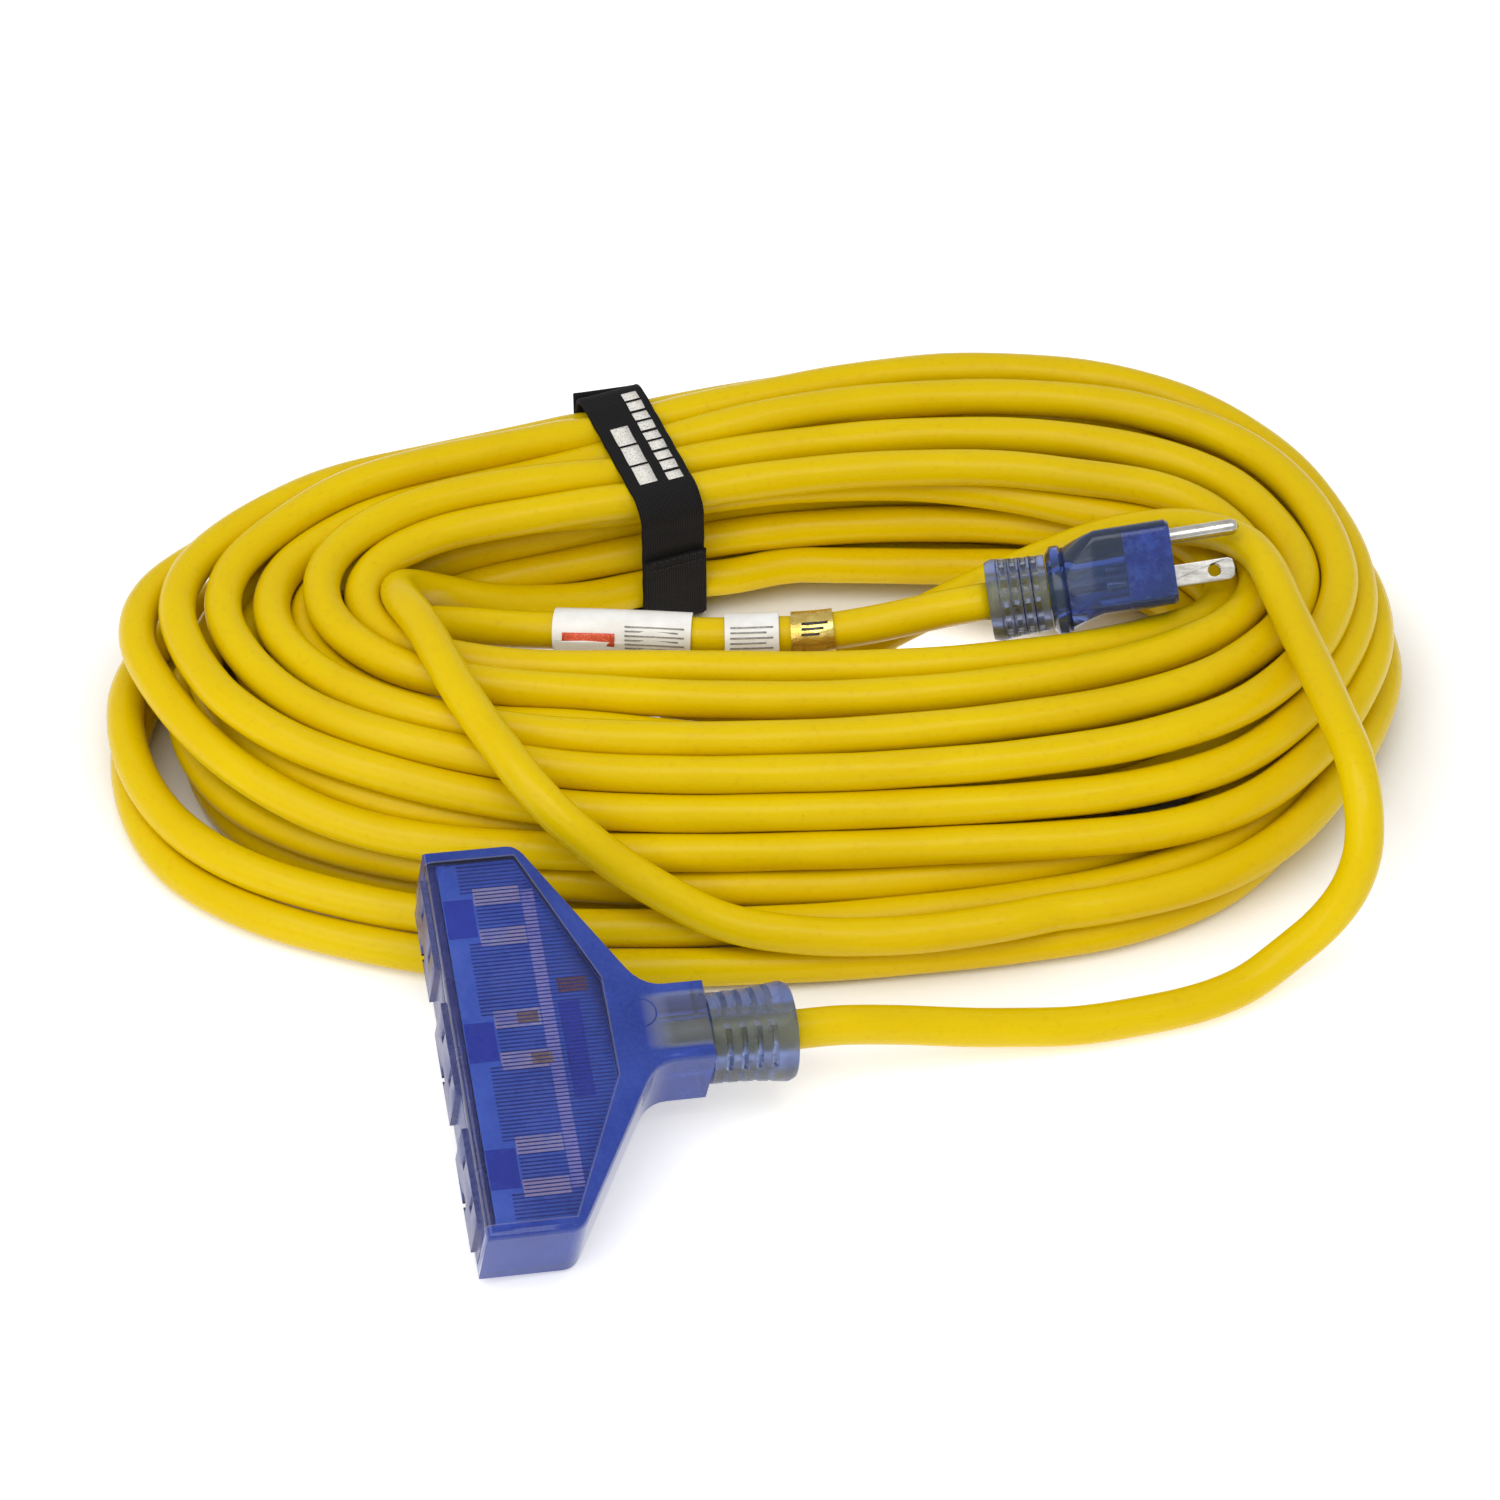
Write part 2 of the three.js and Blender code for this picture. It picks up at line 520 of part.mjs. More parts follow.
/** The wound part of the cord, drawn in where the strap holds it. */
function coil() {
  const sections = [];
  for (let i = 0; i < COIL_STATIONS; i += 1) sections.push(coilSection(i / COIL_STATIONS));
  const waist = band(-GAP, 25, STRAP.width + 2).applyMatrix4(strap.matrix);
  return cut(loft(sections, true), [waist]);
}

add(assembly, 'cord_coil', coil(), jacketYellow);

/** Appends the point where the cord leaves a moulding, in that group's own axes. */
function exitPoint(group, x, z) {
  group.updateMatrix();
  return new THREE.Vector3(x, 0, z).applyMatrix4(group.matrix).toArray();
}
const socketRoute = [exitPoint(head, HEAD.tail + EXIT_GAP, midZ), ...SOCKET_LEAD];
add(assembly, 'cord_socket_lead', tube(socketRoute, CORD_RADIUS, 64), jacketYellow);
const plugRoute = [exitPoint(plug, PLUG.tail - EXIT_GAP, 0), ...PLUG_LEAD];
add(assembly, 'cord_plug_lead', tube(plugRoute, CORD_RADIUS, 24), jacketYellow);

// ----------------------------------------------------------------------------- strap

add(strap, 'strap_band', band(0, STRAP.thick, STRAP.width), webbing);

// The free end lies on the outside of the band and peels away from its top downwards.
const tabOuter = STRAP.outer - STRAP.thick - GAP;
const tab = box([tabOuter - TAB.thick, TAB.hinge, -STRAP.width / 2],
  [tabOuter, TAB.end, STRAP.width / 2]);
tab.translate(0, -TAB.hinge, 0).rotateX(radians(-TAB.skew)).translate(0, TAB.hinge, 0);
add(strap, 'strap_tab', tab, webbing);

// Hook panel sewn to the inner side of the band.
const panelInner = STRAP.inner + STRAP.thick + GAP;
add(strap, 'strap_hook_panel', box([panelInner, 4, -STRAP.width / 2],
  [panelInner + 1.2, STRAP.seam, STRAP.width / 2]), webbing);

// ---------------------------------------------------------------------------- labels

/** A sleeve round the plug's lead between two x positions. */
function sleeve([x0, x1], wall) {
  const curve = new THREE.CatmullRomCurve3(plugRoute.map((p) => new THREE.Vector3(...p)));
  const middle = [x0, (x0 + x1) / 2, x1].map((x) => {
    const near = curve.getPoints(200).sort((a, b) => Math.abs(a.x - x) - Math.abs(b.x - x))[0];
    return near.toArray();
  });
  const inner = CORD_RADIUS + 2 * GAP;
  const ring = tube(middle, inner + wall, 3, 16);
  const bore = tube([[x0 - 3, ...middle[0].slice(1)], middle[1], [x1 + 3, ...middle[2].slice(1)]],
    inner, 4, 16);
  return { ring: cut(ring, [bore]), bore, middle };
}

/** A label folded round the cord with its two ends stuck together as a flag below it. */
function flagLabel(span, drop) {
  const { ring, bore, middle } = sleeve(span, 0.6);
  const [, y, z] = middle[1];
  const reach = CORD_RADIUS + GAP;
  const flag = new THREE.BoxGeometry(span[1] - span[0], 0.9, drop);
  flag.translate(0, 0, -drop / 2).rotateX(radians(-8));
  flag.translate((span[0] + span[1]) / 2, y - reach, z + 2);
  return cut(join([ring, flag]), [bore]);
}

add(assembly, 'label_flag', flagLabel(FLAG_LABEL, 20), paper);
add(assembly, 'label_wrap', flagLabel(WRAP_LABEL, 14), paper);
add(assembly, 'label_foil', sleeve(FOIL_LABEL, 0.5).ring, foil);

assembly.position.set(-CENTRE.x, -CENTRE.y, 0);

export default assembly;
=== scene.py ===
"""Looks of a coiled extension cord with a socket block, a plug, a strap and labels.

Lengths are in metres. The row frame has +X to the right, +Y away from the camera, +Z up.
"""

import json
import math

import bmesh
import bpy
import numpy as np
from mathutils import Matrix, Vector


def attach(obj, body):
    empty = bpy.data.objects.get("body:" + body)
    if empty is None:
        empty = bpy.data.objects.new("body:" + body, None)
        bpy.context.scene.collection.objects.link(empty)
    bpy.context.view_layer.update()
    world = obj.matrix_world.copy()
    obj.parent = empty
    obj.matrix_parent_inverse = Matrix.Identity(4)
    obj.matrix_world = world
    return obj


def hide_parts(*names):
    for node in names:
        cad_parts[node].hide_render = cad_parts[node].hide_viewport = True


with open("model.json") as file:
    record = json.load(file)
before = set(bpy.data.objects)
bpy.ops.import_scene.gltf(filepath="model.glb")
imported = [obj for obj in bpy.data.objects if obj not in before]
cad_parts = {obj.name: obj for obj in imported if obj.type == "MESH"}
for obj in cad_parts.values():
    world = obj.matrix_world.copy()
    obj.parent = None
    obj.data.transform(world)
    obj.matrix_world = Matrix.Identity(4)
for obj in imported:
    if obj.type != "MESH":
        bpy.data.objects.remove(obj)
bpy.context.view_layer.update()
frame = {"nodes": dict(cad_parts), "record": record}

# Sizes shared with the CAD source.
CORD_RADIUS = 0.0056
CORD_DIAMETER = 2 * CORD_RADIUS
COIL_TOP = 0.0444                       # middle of the cord in the top layer
CENTRE = np.array([0.0013, -0.0538, 0])   # middle of the assembly, in the coil's own axes
STRAP_MIDDLE = np.array([-0.036, 0.075])   # in plan, in the coil's own axes
STRAP_ACROSS = np.array([0.36, -0.93]) / np.hypot(0.36, 0.93)
CORD_SET = "cord_set"
FREE_END = "strap_free_end"


# ---------- frames

def mount(name):
    """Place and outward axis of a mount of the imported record."""
    found = next(m for m in frame["record"]["mounts"] if m["name"] == name)
    return Vector(found["pos_m"]), Vector(found["axis"]).normalized()


def axes(x, y, origin):
    """Matrix of a right-handed frame from its x and y directions and its origin."""
    z = x.cross(y).normalized()
    matrix = Matrix((x, y, z)).transposed().to_4x4()
    matrix.translation = origin
    return matrix


def block_frame():
    """Socket block: x from the outlets to the cord, y along the outlets, z its thickness."""
    boss_height = 0.0014
    face_middle = 0.0123
    middle, outward = mount("outlet_middle")
    near, _ = mount("outlet_near_end")
    far, _ = mount("outlet_far_end")
    x = -outward
    y = (far - near).normalized()
    z = x.cross(y).normalized()
    return axes(x, y, middle + boss_height * x - face_middle * z)


def plug_frame():
    """Plug: x along the cord to the blades, y to the ground pin, z to the line blade."""
    front, x = mount("plug_face")
    y = Vector((0, -1, 1)).cross(x).normalized()
    return axes(x, y, front + 0.0002 * x - 0.0045 * y)


def strap_frame():
    """Strap: x across the run towards the hole, y up, z along the run."""
    middle = Vector((*STRAP_MIDDLE, 0)) - Vector(CENTRE)
    return axes(Vector((*STRAP_ACROSS, 0)), Vector((0, 0, 1)), middle)


BLOCK = block_frame()
PLUG = plug_frame()
STRAP = strap_frame()


# ---------- camera

def add_camera():
    """Looks down at 45 degrees from the front, as for a catalogue picture."""
    data = bpy.data.cameras.new("camera")
    data.lens = 120.6
    data.sensor_width = 36
    data.clip_start = 0.05
    data.clip_end = 20
    camera = bpy.data.objects.new("camera", data)
    aim = Vector((-0.0019, 0.0424, 0))
    distance = 1.5
    elevation = math.radians(45)
    back = Vector((0, -math.cos(elevation), math.sin(elevation)))
    camera.location = aim + distance * back
    camera.rotation_euler = (-back).to_track_quat("-Z", "Y").to_euler()
    bpy.context.scene.collection.objects.link(camera)
    bpy.context.scene.camera = camera


add_camera()

# ---------- cord's route
# The route is laid out in the coil's own axes, and moved by CENTRE at the end.

# Closed guide lines through the middles of the outermost and innermost turns, at the base
# and in the top layer, anticlockwise from the right end.
OUTER_BASE = [[0.184, 0.006], [0.167, 0.063], [0.124, 0.099], [0.062, 0.110],
              [-0.010, 0.100], [-0.077, 0.083], [-0.142, 0.057], [-0.186, -0.005],
              [-0.165, -0.071], [-0.080, -0.102], [0.050, -0.101], [0.138, -0.076]]
OUTER_TOP = [[0.179, 0.009], [0.169, 0.069], [0.127, 0.109], [0.062, 0.119],
             [-0.010, 0.102], [-0.077, 0.078], [-0.143, 0.053], [-0.181, 0.008],
             [-0.145, -0.042], [-0.062, -0.066], [0.050, -0.065], [0.140, -0.044]]
INNER_TOP = [[0.151, 0.012], [0.134, 0.048], [0.096, 0.060], [0.052, 0.064],
             [-0.010, 0.061], [-0.060, 0.051], [-0.092, 0.036], [-0.106, 0.010],
             [-0.086, -0.014], [-0.040, -0.024], [0.050, -0.023], [0.118, -0.012]]
INNER_BASE = [[0.142, 0.010], [0.124, 0.042], [0.095, 0.054], [0.052, 0.056],
              [-0.010, 0.054], [-0.060, 0.044], [-0.092, 0.030], [-0.106, 0.005],
              [-0.086, -0.020], [-0.040, -0.028], [0.050, -0.028], [0.112, -0.017]]

# From the socket block round the right end of the coil and down into its hole.
SOCKET_LEAD = [
    [0.024, -0.141, 0.0218], [0.037, -0.138, 0.0185], [0.052, -0.1345, 0.014],
    [0.070, -0.131, 0.0096], [0.089, -0.128, 0.0068], [0.107, -0.124, 0.006],
    [0.125, -0.119, 0.006], [0.140, -0.112, 0.007], [0.152, -0.105, 0.012],
    [0.1615, -0.101, 0.020], [0.1685, -0.097, 0.030], [0.172, -0.092, 0.041],
    [0.172, -0.084, 0.050], [0.170, -0.071, 0.056], [0.166, -0.055, 0.058],
    [0.162, -0.038, 0.058], [0.158, -0.022, 0.058], [0.154, -0.006, 0.058],
    [0.151, 0.006, 0.0575], [0.147, 0.017, 0.056], [0.140, 0.026, 0.053],
    [0.130, 0.033, 0.0495], [0.119, 0.037, 0.0455], [0.107, 0.038, 0.0415],
    [0.092, 0.036, 0.0365], [0.074, 0.030, 0.0315], [0.052, 0.021, 0.026],
    [0.032, 0.011, 0.021], [0.014, 0.001, 0.0175], [-0.002, -0.008, 0.016],
    [-0.012, -0.015, 0.0155]]

# Across the front of the coil, up over its left end and down into the hole.
CROSSING = [
    [0.076, -0.093, 0.016], [0.042, -0.100, 0.016], [0.014, -0.101, 0.017],
    [-0.008, -0.099, 0.020], [-0.026, -0.0945, 0.028], [-0.037, -0.091, 0.034],
    [-0.047, -0.088, 0.042], [-0.060, -0.080, 0.051], [-0.073, -0.063, 0.056],
    [-0.087, -0.038, 0.0565], [-0.098, -0.014, 0.0555], [-0.106, 0.002, 0.051],
    [-0.108, 0.014, 0.044], [-0.104, 0.024, 0.035], [-0.095, 0.031, 0.027],
    [-0.082, 0.036, 0.020], [-0.067, 0.040, 0.015], [-0.050, 0.042, 0.0125],
    [-0.030, 0.045, 0.012], [-0.010, 0.047, 0.012]]

# The last half turn inside the coil, up to the plug's lead.
FINAL = [
    [0.020, -0.031, 0.027], [-0.020, -0.034, 0.027], [-0.060, -0.046, 0.026],
    [-0.090, -0.057, 0.025], [-0.114, -0.058, 0.024], [-0.135, -0.045, 0.024],
    [-0.147, -0.022, 0.024], [-0.139, 0.001, 0.025], [-0.120, 0.014, 0.026]]

PLUG_LEAD = [
    [0.057, 0.003, 0.0445], [0.044, 0.002, 0.0415], [0.032, 0.001, 0.039],
    [0.020, 0, 0.0375], [0.005, 0, 0.0365], [-0.012, 0, 0.036], [-0.028, 0.001, 0.036],
    [-0.044, 0.002, 0.036], [-0.058, 0.004, 0.0345], [-0.072, 0.007, 0.0325],
    [-0.086, 0.011, 0.030], [-0.0975, 0.0145, 0.0275]]

# Stations round the coil, as shares of a turn from the right end.
RIGHT, FAR, LEFT, NEAR = 0.0, 0.33, 0.58, 0.79
TURN_POINTS = 96
FIRST_STATION = 0.765
# Turns buried in the coil: height in the coil, and share from its inner to its outer side.
BURIED_LAYERS = [(0.12, [0.05]), (0.0, [0.34, 0.67, 1.0]), (0.25, [0.85, 0.5, 0.15]),
                 (0.5, [0.25, 0.5, 0.78]), (0.75, [0.4])]
COVERING_TURNS = 6
LAST_HEIGHT = 0.22
ROUTE_STEP = 0.007


def closed_curve(points):
    """A smooth closed curve through the points, as a function of the share of a turn."""
    points = np.array(points)
    count = len(points)

    def at(t):
        u = (np.asarray(t) % 1.0) * count
        i = np.floor(u).astype(int) % count
        w = (u - np.floor(u))[..., None]
        p0, p1, p2, p3 = (points[(i + k) % count] for k in (-1, 0, 1, 2))
        square = (2 * p0 - 5 * p1 + 4 * p2 - p3) * w ** 2
        cube = (3 * p1 - p0 - 3 * p2 + p3) * w ** 3
        return 0.5 * (2 * p1 + (p2 - p0) * w + square + cube)
    return at


GUIDES = [closed_curve(line) for line in (OUTER_BASE, OUTER_TOP, INNER_TOP, INNER_BASE)]


def in_coil(t, across, height):
    """Point of the coil at a station, from its inner to outer side and base to top."""
    outer_base, outer_top, inner_top, inner_base = (guide(t) for guide in GUIDES)
    across = across[:, None]
    height = height[:, None]
    base = inner_base * (1 - across) + outer_base * across
    top = inner_top * (1 - across) + outer_top * across
    z = CORD_RADIUS + height * (COIL_TOP - CORD_RADIUS)
    return np.hstack([base * (1 - height) + top * height, z])


def ease(x):
    return x * x * (3 - 2 * x)


def round_coil(t, right, far, left, near):
    """A value that changes smoothly round the coil between its four sides."""
    stations = np.array([NEAR - 1, RIGHT, FAR, LEFT, NEAR, 1 + RIGHT])
    values = np.array([near, right, far, left, near, right])
    t = t % 1.0
    i = np.clip(np.searchsorted(stations, t, side="right") - 1, 0, len(stations) - 2)
    w = ease((t - stations[i]) / (stations[i + 1] - stations[i]))
    return values[i] * (1 - w) + values[i + 1] * w


def buried_turn(t, across, height):
    """A turn inside the coil. The coil is slimmer at its right end."""
    share = np.full_like(t, across)
    if 0 < height < 0.9:
        share = share * round_coil(t, right=0.75, far=0.95, left=1.0, near=0.9)
    share = share + round_coil(t, right=-0.22, far=0, left=0, near=0) * (1 - share)
    return share, np.full_like(t, height)


def covering_turn(t, order):
    """A turn of the top layer, which spills over the near side as a fan."""
    start = round_coil(t, right=-0.35, far=-0.1, left=0.1, near=-0.1)
    width = round_coil(t, right=2.1, far=1.4, left=0.9, near=1.75)
    edge = round_coil(t, right=1.0, far=1.0, left=1.0, near=0.84)
    slope = round_coil(t, right=0.9, far=0.9, left=0.9, near=0.62)
    share = start + order * width
    return np.minimum(share, edge), 1 - slope * np.maximum(share - edge, 0)


def outer_turn(t):
    """A turn low on the coil's outer side."""
    return np.ones_like(t), np.full_like(t, LAST_HEIGHT)


def wound_part():
    """The wound turns, each sliding smoothly into the place of the next one."""
    turns = [lambda t, a=a, h=h: buried_turn(t, a, h) for h, row in BURIED_LAYERS for a in row]
    turns += [lambda t, k=k: covering_turn(t, k / (COVERING_TURNS - 1))
              for k in range(COVERING_TURNS)]
    turns += [outer_turn, outer_turn]
    turned = np.arange(0, len(turns) - 2 + 0.915, 1 / TURN_POINTS)
    t = FIRST_STATION - turned
    places = np.array([turn(t) for turn in turns])
    k = np.minimum(np.floor(turned).astype(int), len(turns) - 2)
    w = turned - k
    j = np.arange(len(turned))
    across, height = places[k, :, j].T * (1 - w) + places[k + 1, :, j].T * w
    return in_coil(t, across, height)[3:]


def inner_half_turn():
    """Round the right end of the hole, from the far side to the near one, rising."""
    t = np.arange(0.30, -0.17, -1 / TURN_POINTS)
    height = 0.18 + 0.38 * ease((0.30 - t) / 0.47)
    return in_coil(t, np.full_like(t, -0.02), height)


def run_along(points):
    """How far along a line each of its points is."""
    steps = np.linalg.norm(np.diff(points, axis=0), axis=1)
    return np.concatenate([[0], np.cumsum(steps)])


def even_line(points, step):
    """A smooth line through the points with evenly spaced points, and its length."""
    points = np.array(points, float)
    ends = [2 * points[0] - points[1], *points, 2 * points[-1] - points[-2]]
    pieces = []
    for p0, p1, p2, p3 in zip(ends, ends[1:], ends[2:], ends[3:]):
        t1 = np.linalg.norm(p1 - p0) ** 0.5
        t2 = t1 + np.linalg.norm(p2 - p1) ** 0.5
        t3 = t2 + np.linalg.norm(p3 - p2) ** 0.5
        count = max(2, int(np.linalg.norm(p2 - p1) / 0.0015))
        t = np.linspace(t1, t2, count, endpoint=False)[:, None]
        a1 = ((t1 - t) * p0 + t * p1) / t1
        a2 = ((t2 - t) * p1 + (t - t1) * p2) / (t2 - t1)
        a3 = ((t3 - t) * p2 + (t - t2) * p3) / (t3 - t2)
        b1 = ((t2 - t) * a1 + t * a2) / t2
        b2 = ((t3 - t) * a2 + (t - t1) * a3) / (t3 - t1)
        pieces.append(((t2 - t) * b1 + (t - t1) * b2) / (t2 - t1))
    dense = np.vstack(pieces + [points[-1:]])
    run = run_along(dense)
    even = np.linspace(0, run[-1], int(round(run[-1] / step)) + 1)
    return np.stack([np.interp(even, run, dense[:, k]) for k in range(3)], 1), run[-1]


# The strap draws the far run together. Its own axes: u across the run, v along it.
STRAP_ALONG = np.array([-STRAP_ACROSS[1], STRAP_ACROSS[0]])
STRAP_SPAN = [-0.024, 0.033]
STRAP_RISE = [0.002, 0.048]
SPAN_MIDDLE = 0.0045
RUN_REACH = 0.050                       # half the width in which the run is looked for
FAR_SIDE = 0.020                        # the far run lies beyond this y
SQUEEZE_HALF = 0.011                    # along the run, held fully within this
SQUEEZE_FADE = 0.070                    # and less and less over this length
LOOSE_SLACK = 0.030
SMALLEST_BEND = 0.040
ROUNDS = 260
SEARCH_EVERY = 8                        # rounds between searches for neighbours
FIRST_SIZE = 0.75                       # share of its size from which the cord swells
DRAW_BACK = 0.02                        # share of the way back to the route, each round
SINK = 0.00003
CALM_FROM = 0.85                        # share of the rounds before it is left to rest


def contact_shift(x, weight, first, second, size):
    """How far touching points of the cord push each other apart."""
    apart = x[first] - x[second]
    distance = np.linalg.norm(apart, axis=1) + 1e-9
    overlap = np.maximum(size - distance, 0)
    push = apart / distance[:, None]
    push *= (overlap / (weight[first] + weight[second] + 1e-9))[:, None]
    count = len(x)
    shift = np.zeros_like(x)
    for k in range(3):
        shift[:, k] = np.bincount(first, push[:, k] * weight[first], count)
        shift[:, k] -= np.bincount(second, push[:, k] * weight[second], count)
    hit = overlap > 0
    hits = 1 + np.bincount(first[hit], minlength=count) + np.bincount(second[hit], minlength=count)
    return shift / np.sqrt(hits)[:, None]


def neighbours_within(x, reach, apart):
    """Pairs of points of the cord nearer than reach, and some way apart along it."""
    square = (x ** 2).sum(1)
    distance = square[:, None] + square[None] - 2 * x @ x.T
    return np.nonzero(np.triu(distance < reach ** 2, apart))


def limit_bends(x, target, weight):
    """Opens the bends that are too tight, and eases what the cord is drawn towards."""
    bend = np.zeros_like(x)
    bend[1:-1] = (x[:-2] + x[2:]) / 2 - x[1:-1]
    size = np.maximum(np.linalg.norm(bend, axis=1), 1e-9)
    excess = np.maximum(size - ROUTE_STEP ** 2 / 2 / SMALLEST_BEND, 0) / size
    move = 0.6 * bend * excess[:, None]
    x += move * weight
    x[1:] -= 0.5 * move[:-1] * weight[1:]
    x[:-1] -= 0.5 * move[1:] * weight[:-1]
    target += 0.02 * excess[:, None] * bend * weight


def squeeze_in_strap(x, free):
    """Draws the run together where the strap holds it, less and less to both sides."""
    from_middle = x[:, :2] - STRAP_MIDDLE
    u = from_middle @ STRAP_ACROSS
    v = from_middle @ STRAP_ALONG
    near = free & (np.abs(u - SPAN_MIDDLE) < RUN_REACH) & (x[:, 1] > FAR_SIDE)
    share = np.clip(1 - (np.abs(v) - SQUEEZE_HALF) / SQUEEZE_FADE, 0, 1) ** 2
    share = np.where(near, share, 0)
    slack = LOOSE_SLACK * (1 - share)
    low, high = STRAP_SPAN
    held = np.clip(u, low + CORD_RADIUS - slack, high - CORD_RADIUS + slack)
    x[near, :2] += (0.5 * share * (held - u))[near, None] * STRAP_ACROSS
    low, high = STRAP_RISE
    held = np.clip(x[:, 2], low + CORD_RADIUS - slack, high - CORD_RADIUS + 0.3 * slack)
    x[near, 2] += (0.5 * share * (held - x[:, 2]))[near]


def settle(x, fixed):
    """Lets the turns push each other apart and sink, without kinking or stretching."""
    target = x.copy()
    free = ~fixed
    weight = free.astype(float)
    column = weight[:, None]
    for k in range(ROUNDS):
        if k % SEARCH_EVERY == 0:
            first, second = neighbours_within(x, reach=0.018, apart=4)
        size = CORD_DIAMETER * min(1, FIRST_SIZE + 0.5 * k / ROUNDS)
        x = x + 1.5 * contact_shift(x, weight, first, second, size)
        if k <= CALM_FROM * ROUNDS:
            x += DRAW_BACK * (target - x) * column
            x[:, 2] -= SINK * weight
        shift = x - target
        for _ in range(2):
            smooth = shift.copy()
            smooth[1:-1] = (shift[:-2] + 2 * shift[1:-1] + shift[2:]) / 4
            shift = shift + 0.9 * (smooth - shift) * column
        x = target + shift
        limit_bends(x, target, column)
        squeeze_in_strap(x, free)
        x[free, 2] = np.maximum(x[free, 2], CORD_RADIUS)
    return x


def cord_route():
    """The middle of the whole cord, from the socket block to the plug, in the row frame."""
    block_exit = np.array(BLOCK @ Vector((0.095, 0, 0.014))) + CENTRE
    plug_exit = np.array(PLUG @ Vector((-0.055, 0, 0))) + CENTRE
    socket_end = [block_exit, *SOCKET_LEAD]
    plug_end = [*PLUG_LEAD[::-1], plug_exit]
    points = np.vstack([socket_end, wound_part(), CROSSING, inner_half_turn(), FINAL, plug_end])
    x, length = even_line(points, ROUTE_STEP)
    along = np.linspace(0, length, len(x))
    socket_length = even_line(socket_end, ROUTE_STEP)[1]
    plug_length = even_line(plug_end, ROUTE_STEP)[1]
    fixed = (along < socket_length - 0.020) | (along > length - plug_length + 0.010)
    return settle(x, fixed) - CENTRE


# ---------- mesh helpers

def placed(name, mesh, material):
    """Puts a mesh in the scene as an object with one material."""
    mesh.materials.append(material)
    piece = bpy.data.objects.new(name, mesh)
    bpy.context.scene.collection.objects.link(piece)
    return piece


def carry(piece, body, slot, *replaced):
    """Says which body carries a piece and what it replaces. The slot is not used."""
    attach(piece, body)
    if replaced:
        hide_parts(*replaced)


def piece_from(name, vertices, faces, material, smooth=True):
    """A mesh object in the row frame."""
    mesh = bpy.data.meshes.new(name)
    mesh.from_pydata([tuple(v) for v in vertices], [], faces)
    mesh.validate()
    mesh.polygons.foreach_set("use_smooth", [smooth] * len(mesh.polygons))
    return placed(name, mesh, material)


def ink_patches(name, vertices, faces, material, slot):
    """Patches as thick as ink."""
    piece = piece_from(name, vertices, faces, material)
    ink = piece.modifiers.new("ink", "SOLIDIFY")
    ink.thickness = 0.00005
    carry(piece, CORD_SET, slot)


def grid_faces(rows, columns, wrap=False):
    """Quads of a grid of points, closed across if wrap is true."""
    faces = []
    for i in range(rows - 1):
        for j in range(columns if wrap else columns - 1):
            k = (j + 1) % columns
            a, b = i * columns + j, i * columns + k
            faces.append((a, b, b + columns, a + columns))
    return faces


def tube_faces(rows, sides):
    """Faces of a tube of points, closed at both ends."""
    last = (rows - 1) * sides
    ends = [tuple(range(sides))[::-1], tuple(range(last, last + sides))]
    return grid_faces(rows, sides, wrap=True) + ends


def set_uv(piece, uv):
    """Gives each corner the uv of its vertex."""
    layer = piece.data.uv_layers.new(name="UVMap")
    index = np.zeros(len(piece.data.loops), int)
    piece.data.loops.foreach_get("vertex_index", index)
    layer.data.foreach_set("uv", np.asarray(uv, float)[index].ravel())


def carried_frames(path):
    """Tangents and two sideways directions along a path, without twist."""
    tangent = np.gradient(path, axis=0)
    tangent /= np.linalg.norm(tangent, axis=1)[:, None]
    side = np.zeros_like(path)
    side[0] = np.cross(tangent[0], [0, 0, 1.0])
    side[0] /= np.linalg.norm(side[0])
    for i in range(1, len(path)):
        flat = side[i - 1] - tangent[i] * (side[i - 1] @ tangent[i])
        side[i] = flat / np.linalg.norm(flat)
    return tangent, side, np.cross(tangent, side)


def round_tube(name, path, radius, sides, material, ripple=0.0, lay=1.0):
    """A tube along a path. A ripple is the twist of three cores under the jacket."""
    path = np.asarray(path, float)
    _, side, up = carried_frames(path)
    run = run_along(path)
    angle = 2 * np.pi * np.arange(sides) / sides
    r = radius + ripple * np.cos(3 * (angle[None] - 2 * np.pi * run[:, None] / lay))
    offset = np.cos(angle)[None, :, None] * side[:, None] + np.sin(angle)[None, :, None] * up[:, None]
    vertices = (path[:, None] + r[..., None] * offset).reshape(-1, 3)
    piece = piece_from(name, vertices, tube_faces(len(path), sides), material)
    around = np.broadcast_to(angle * radius, (len(path), sides))
    set_uv(piece, np.stack([around.ravel(), np.repeat(run, sides)], 1))
    return piece


def boxes_piece(name, boxes, matrix, material, bevel, slot):
    """One piece of several boxes with rounded edges, by their corners in a local frame."""
    tool = bmesh.new()
    for low, high in boxes:
        low, high = Vector(low), Vector(high)
        made = bmesh.ops.create_cube(tool, size=1)["verts"]
        size = Matrix.Diagonal((*(high - low), 1))
        bmesh.ops.transform(tool, matrix=Matrix.Translation((low + high) / 2) @ size, verts=made)
        edges = {edge for vertex in made for edge in vertex.link_edges}
        bmesh.ops.bevel(tool, geom=list(edges), offset=bevel, segments=2, profile=0.5,
                        affect="EDGES")
    tool.transform(matrix)
    mesh = bpy.data.meshes.new(name)
    tool.to_mesh(mesh)
    tool.free()
    carry(placed(name, mesh, material), CORD_SET, slot)


def ring_path(matrix, x, radius):
    """A circle about a local x axis."""
    angles = np.linspace(0, 2 * np.pi, 49)
    return [matrix @ Vector((x, radius * math.cos(a), radius * math.sin(a))) for a in angles]


# ---------- materials

def linear(red, green, blue):
    """A colour given as on a screen, 0 to 255, in the renderer's linear values."""
    return tuple(((c / 255 + 0.055) / 1.055) ** 2.4 if c > 10 else c / 255 / 12.92
                 for c in (red, green, blue)) + (1,)


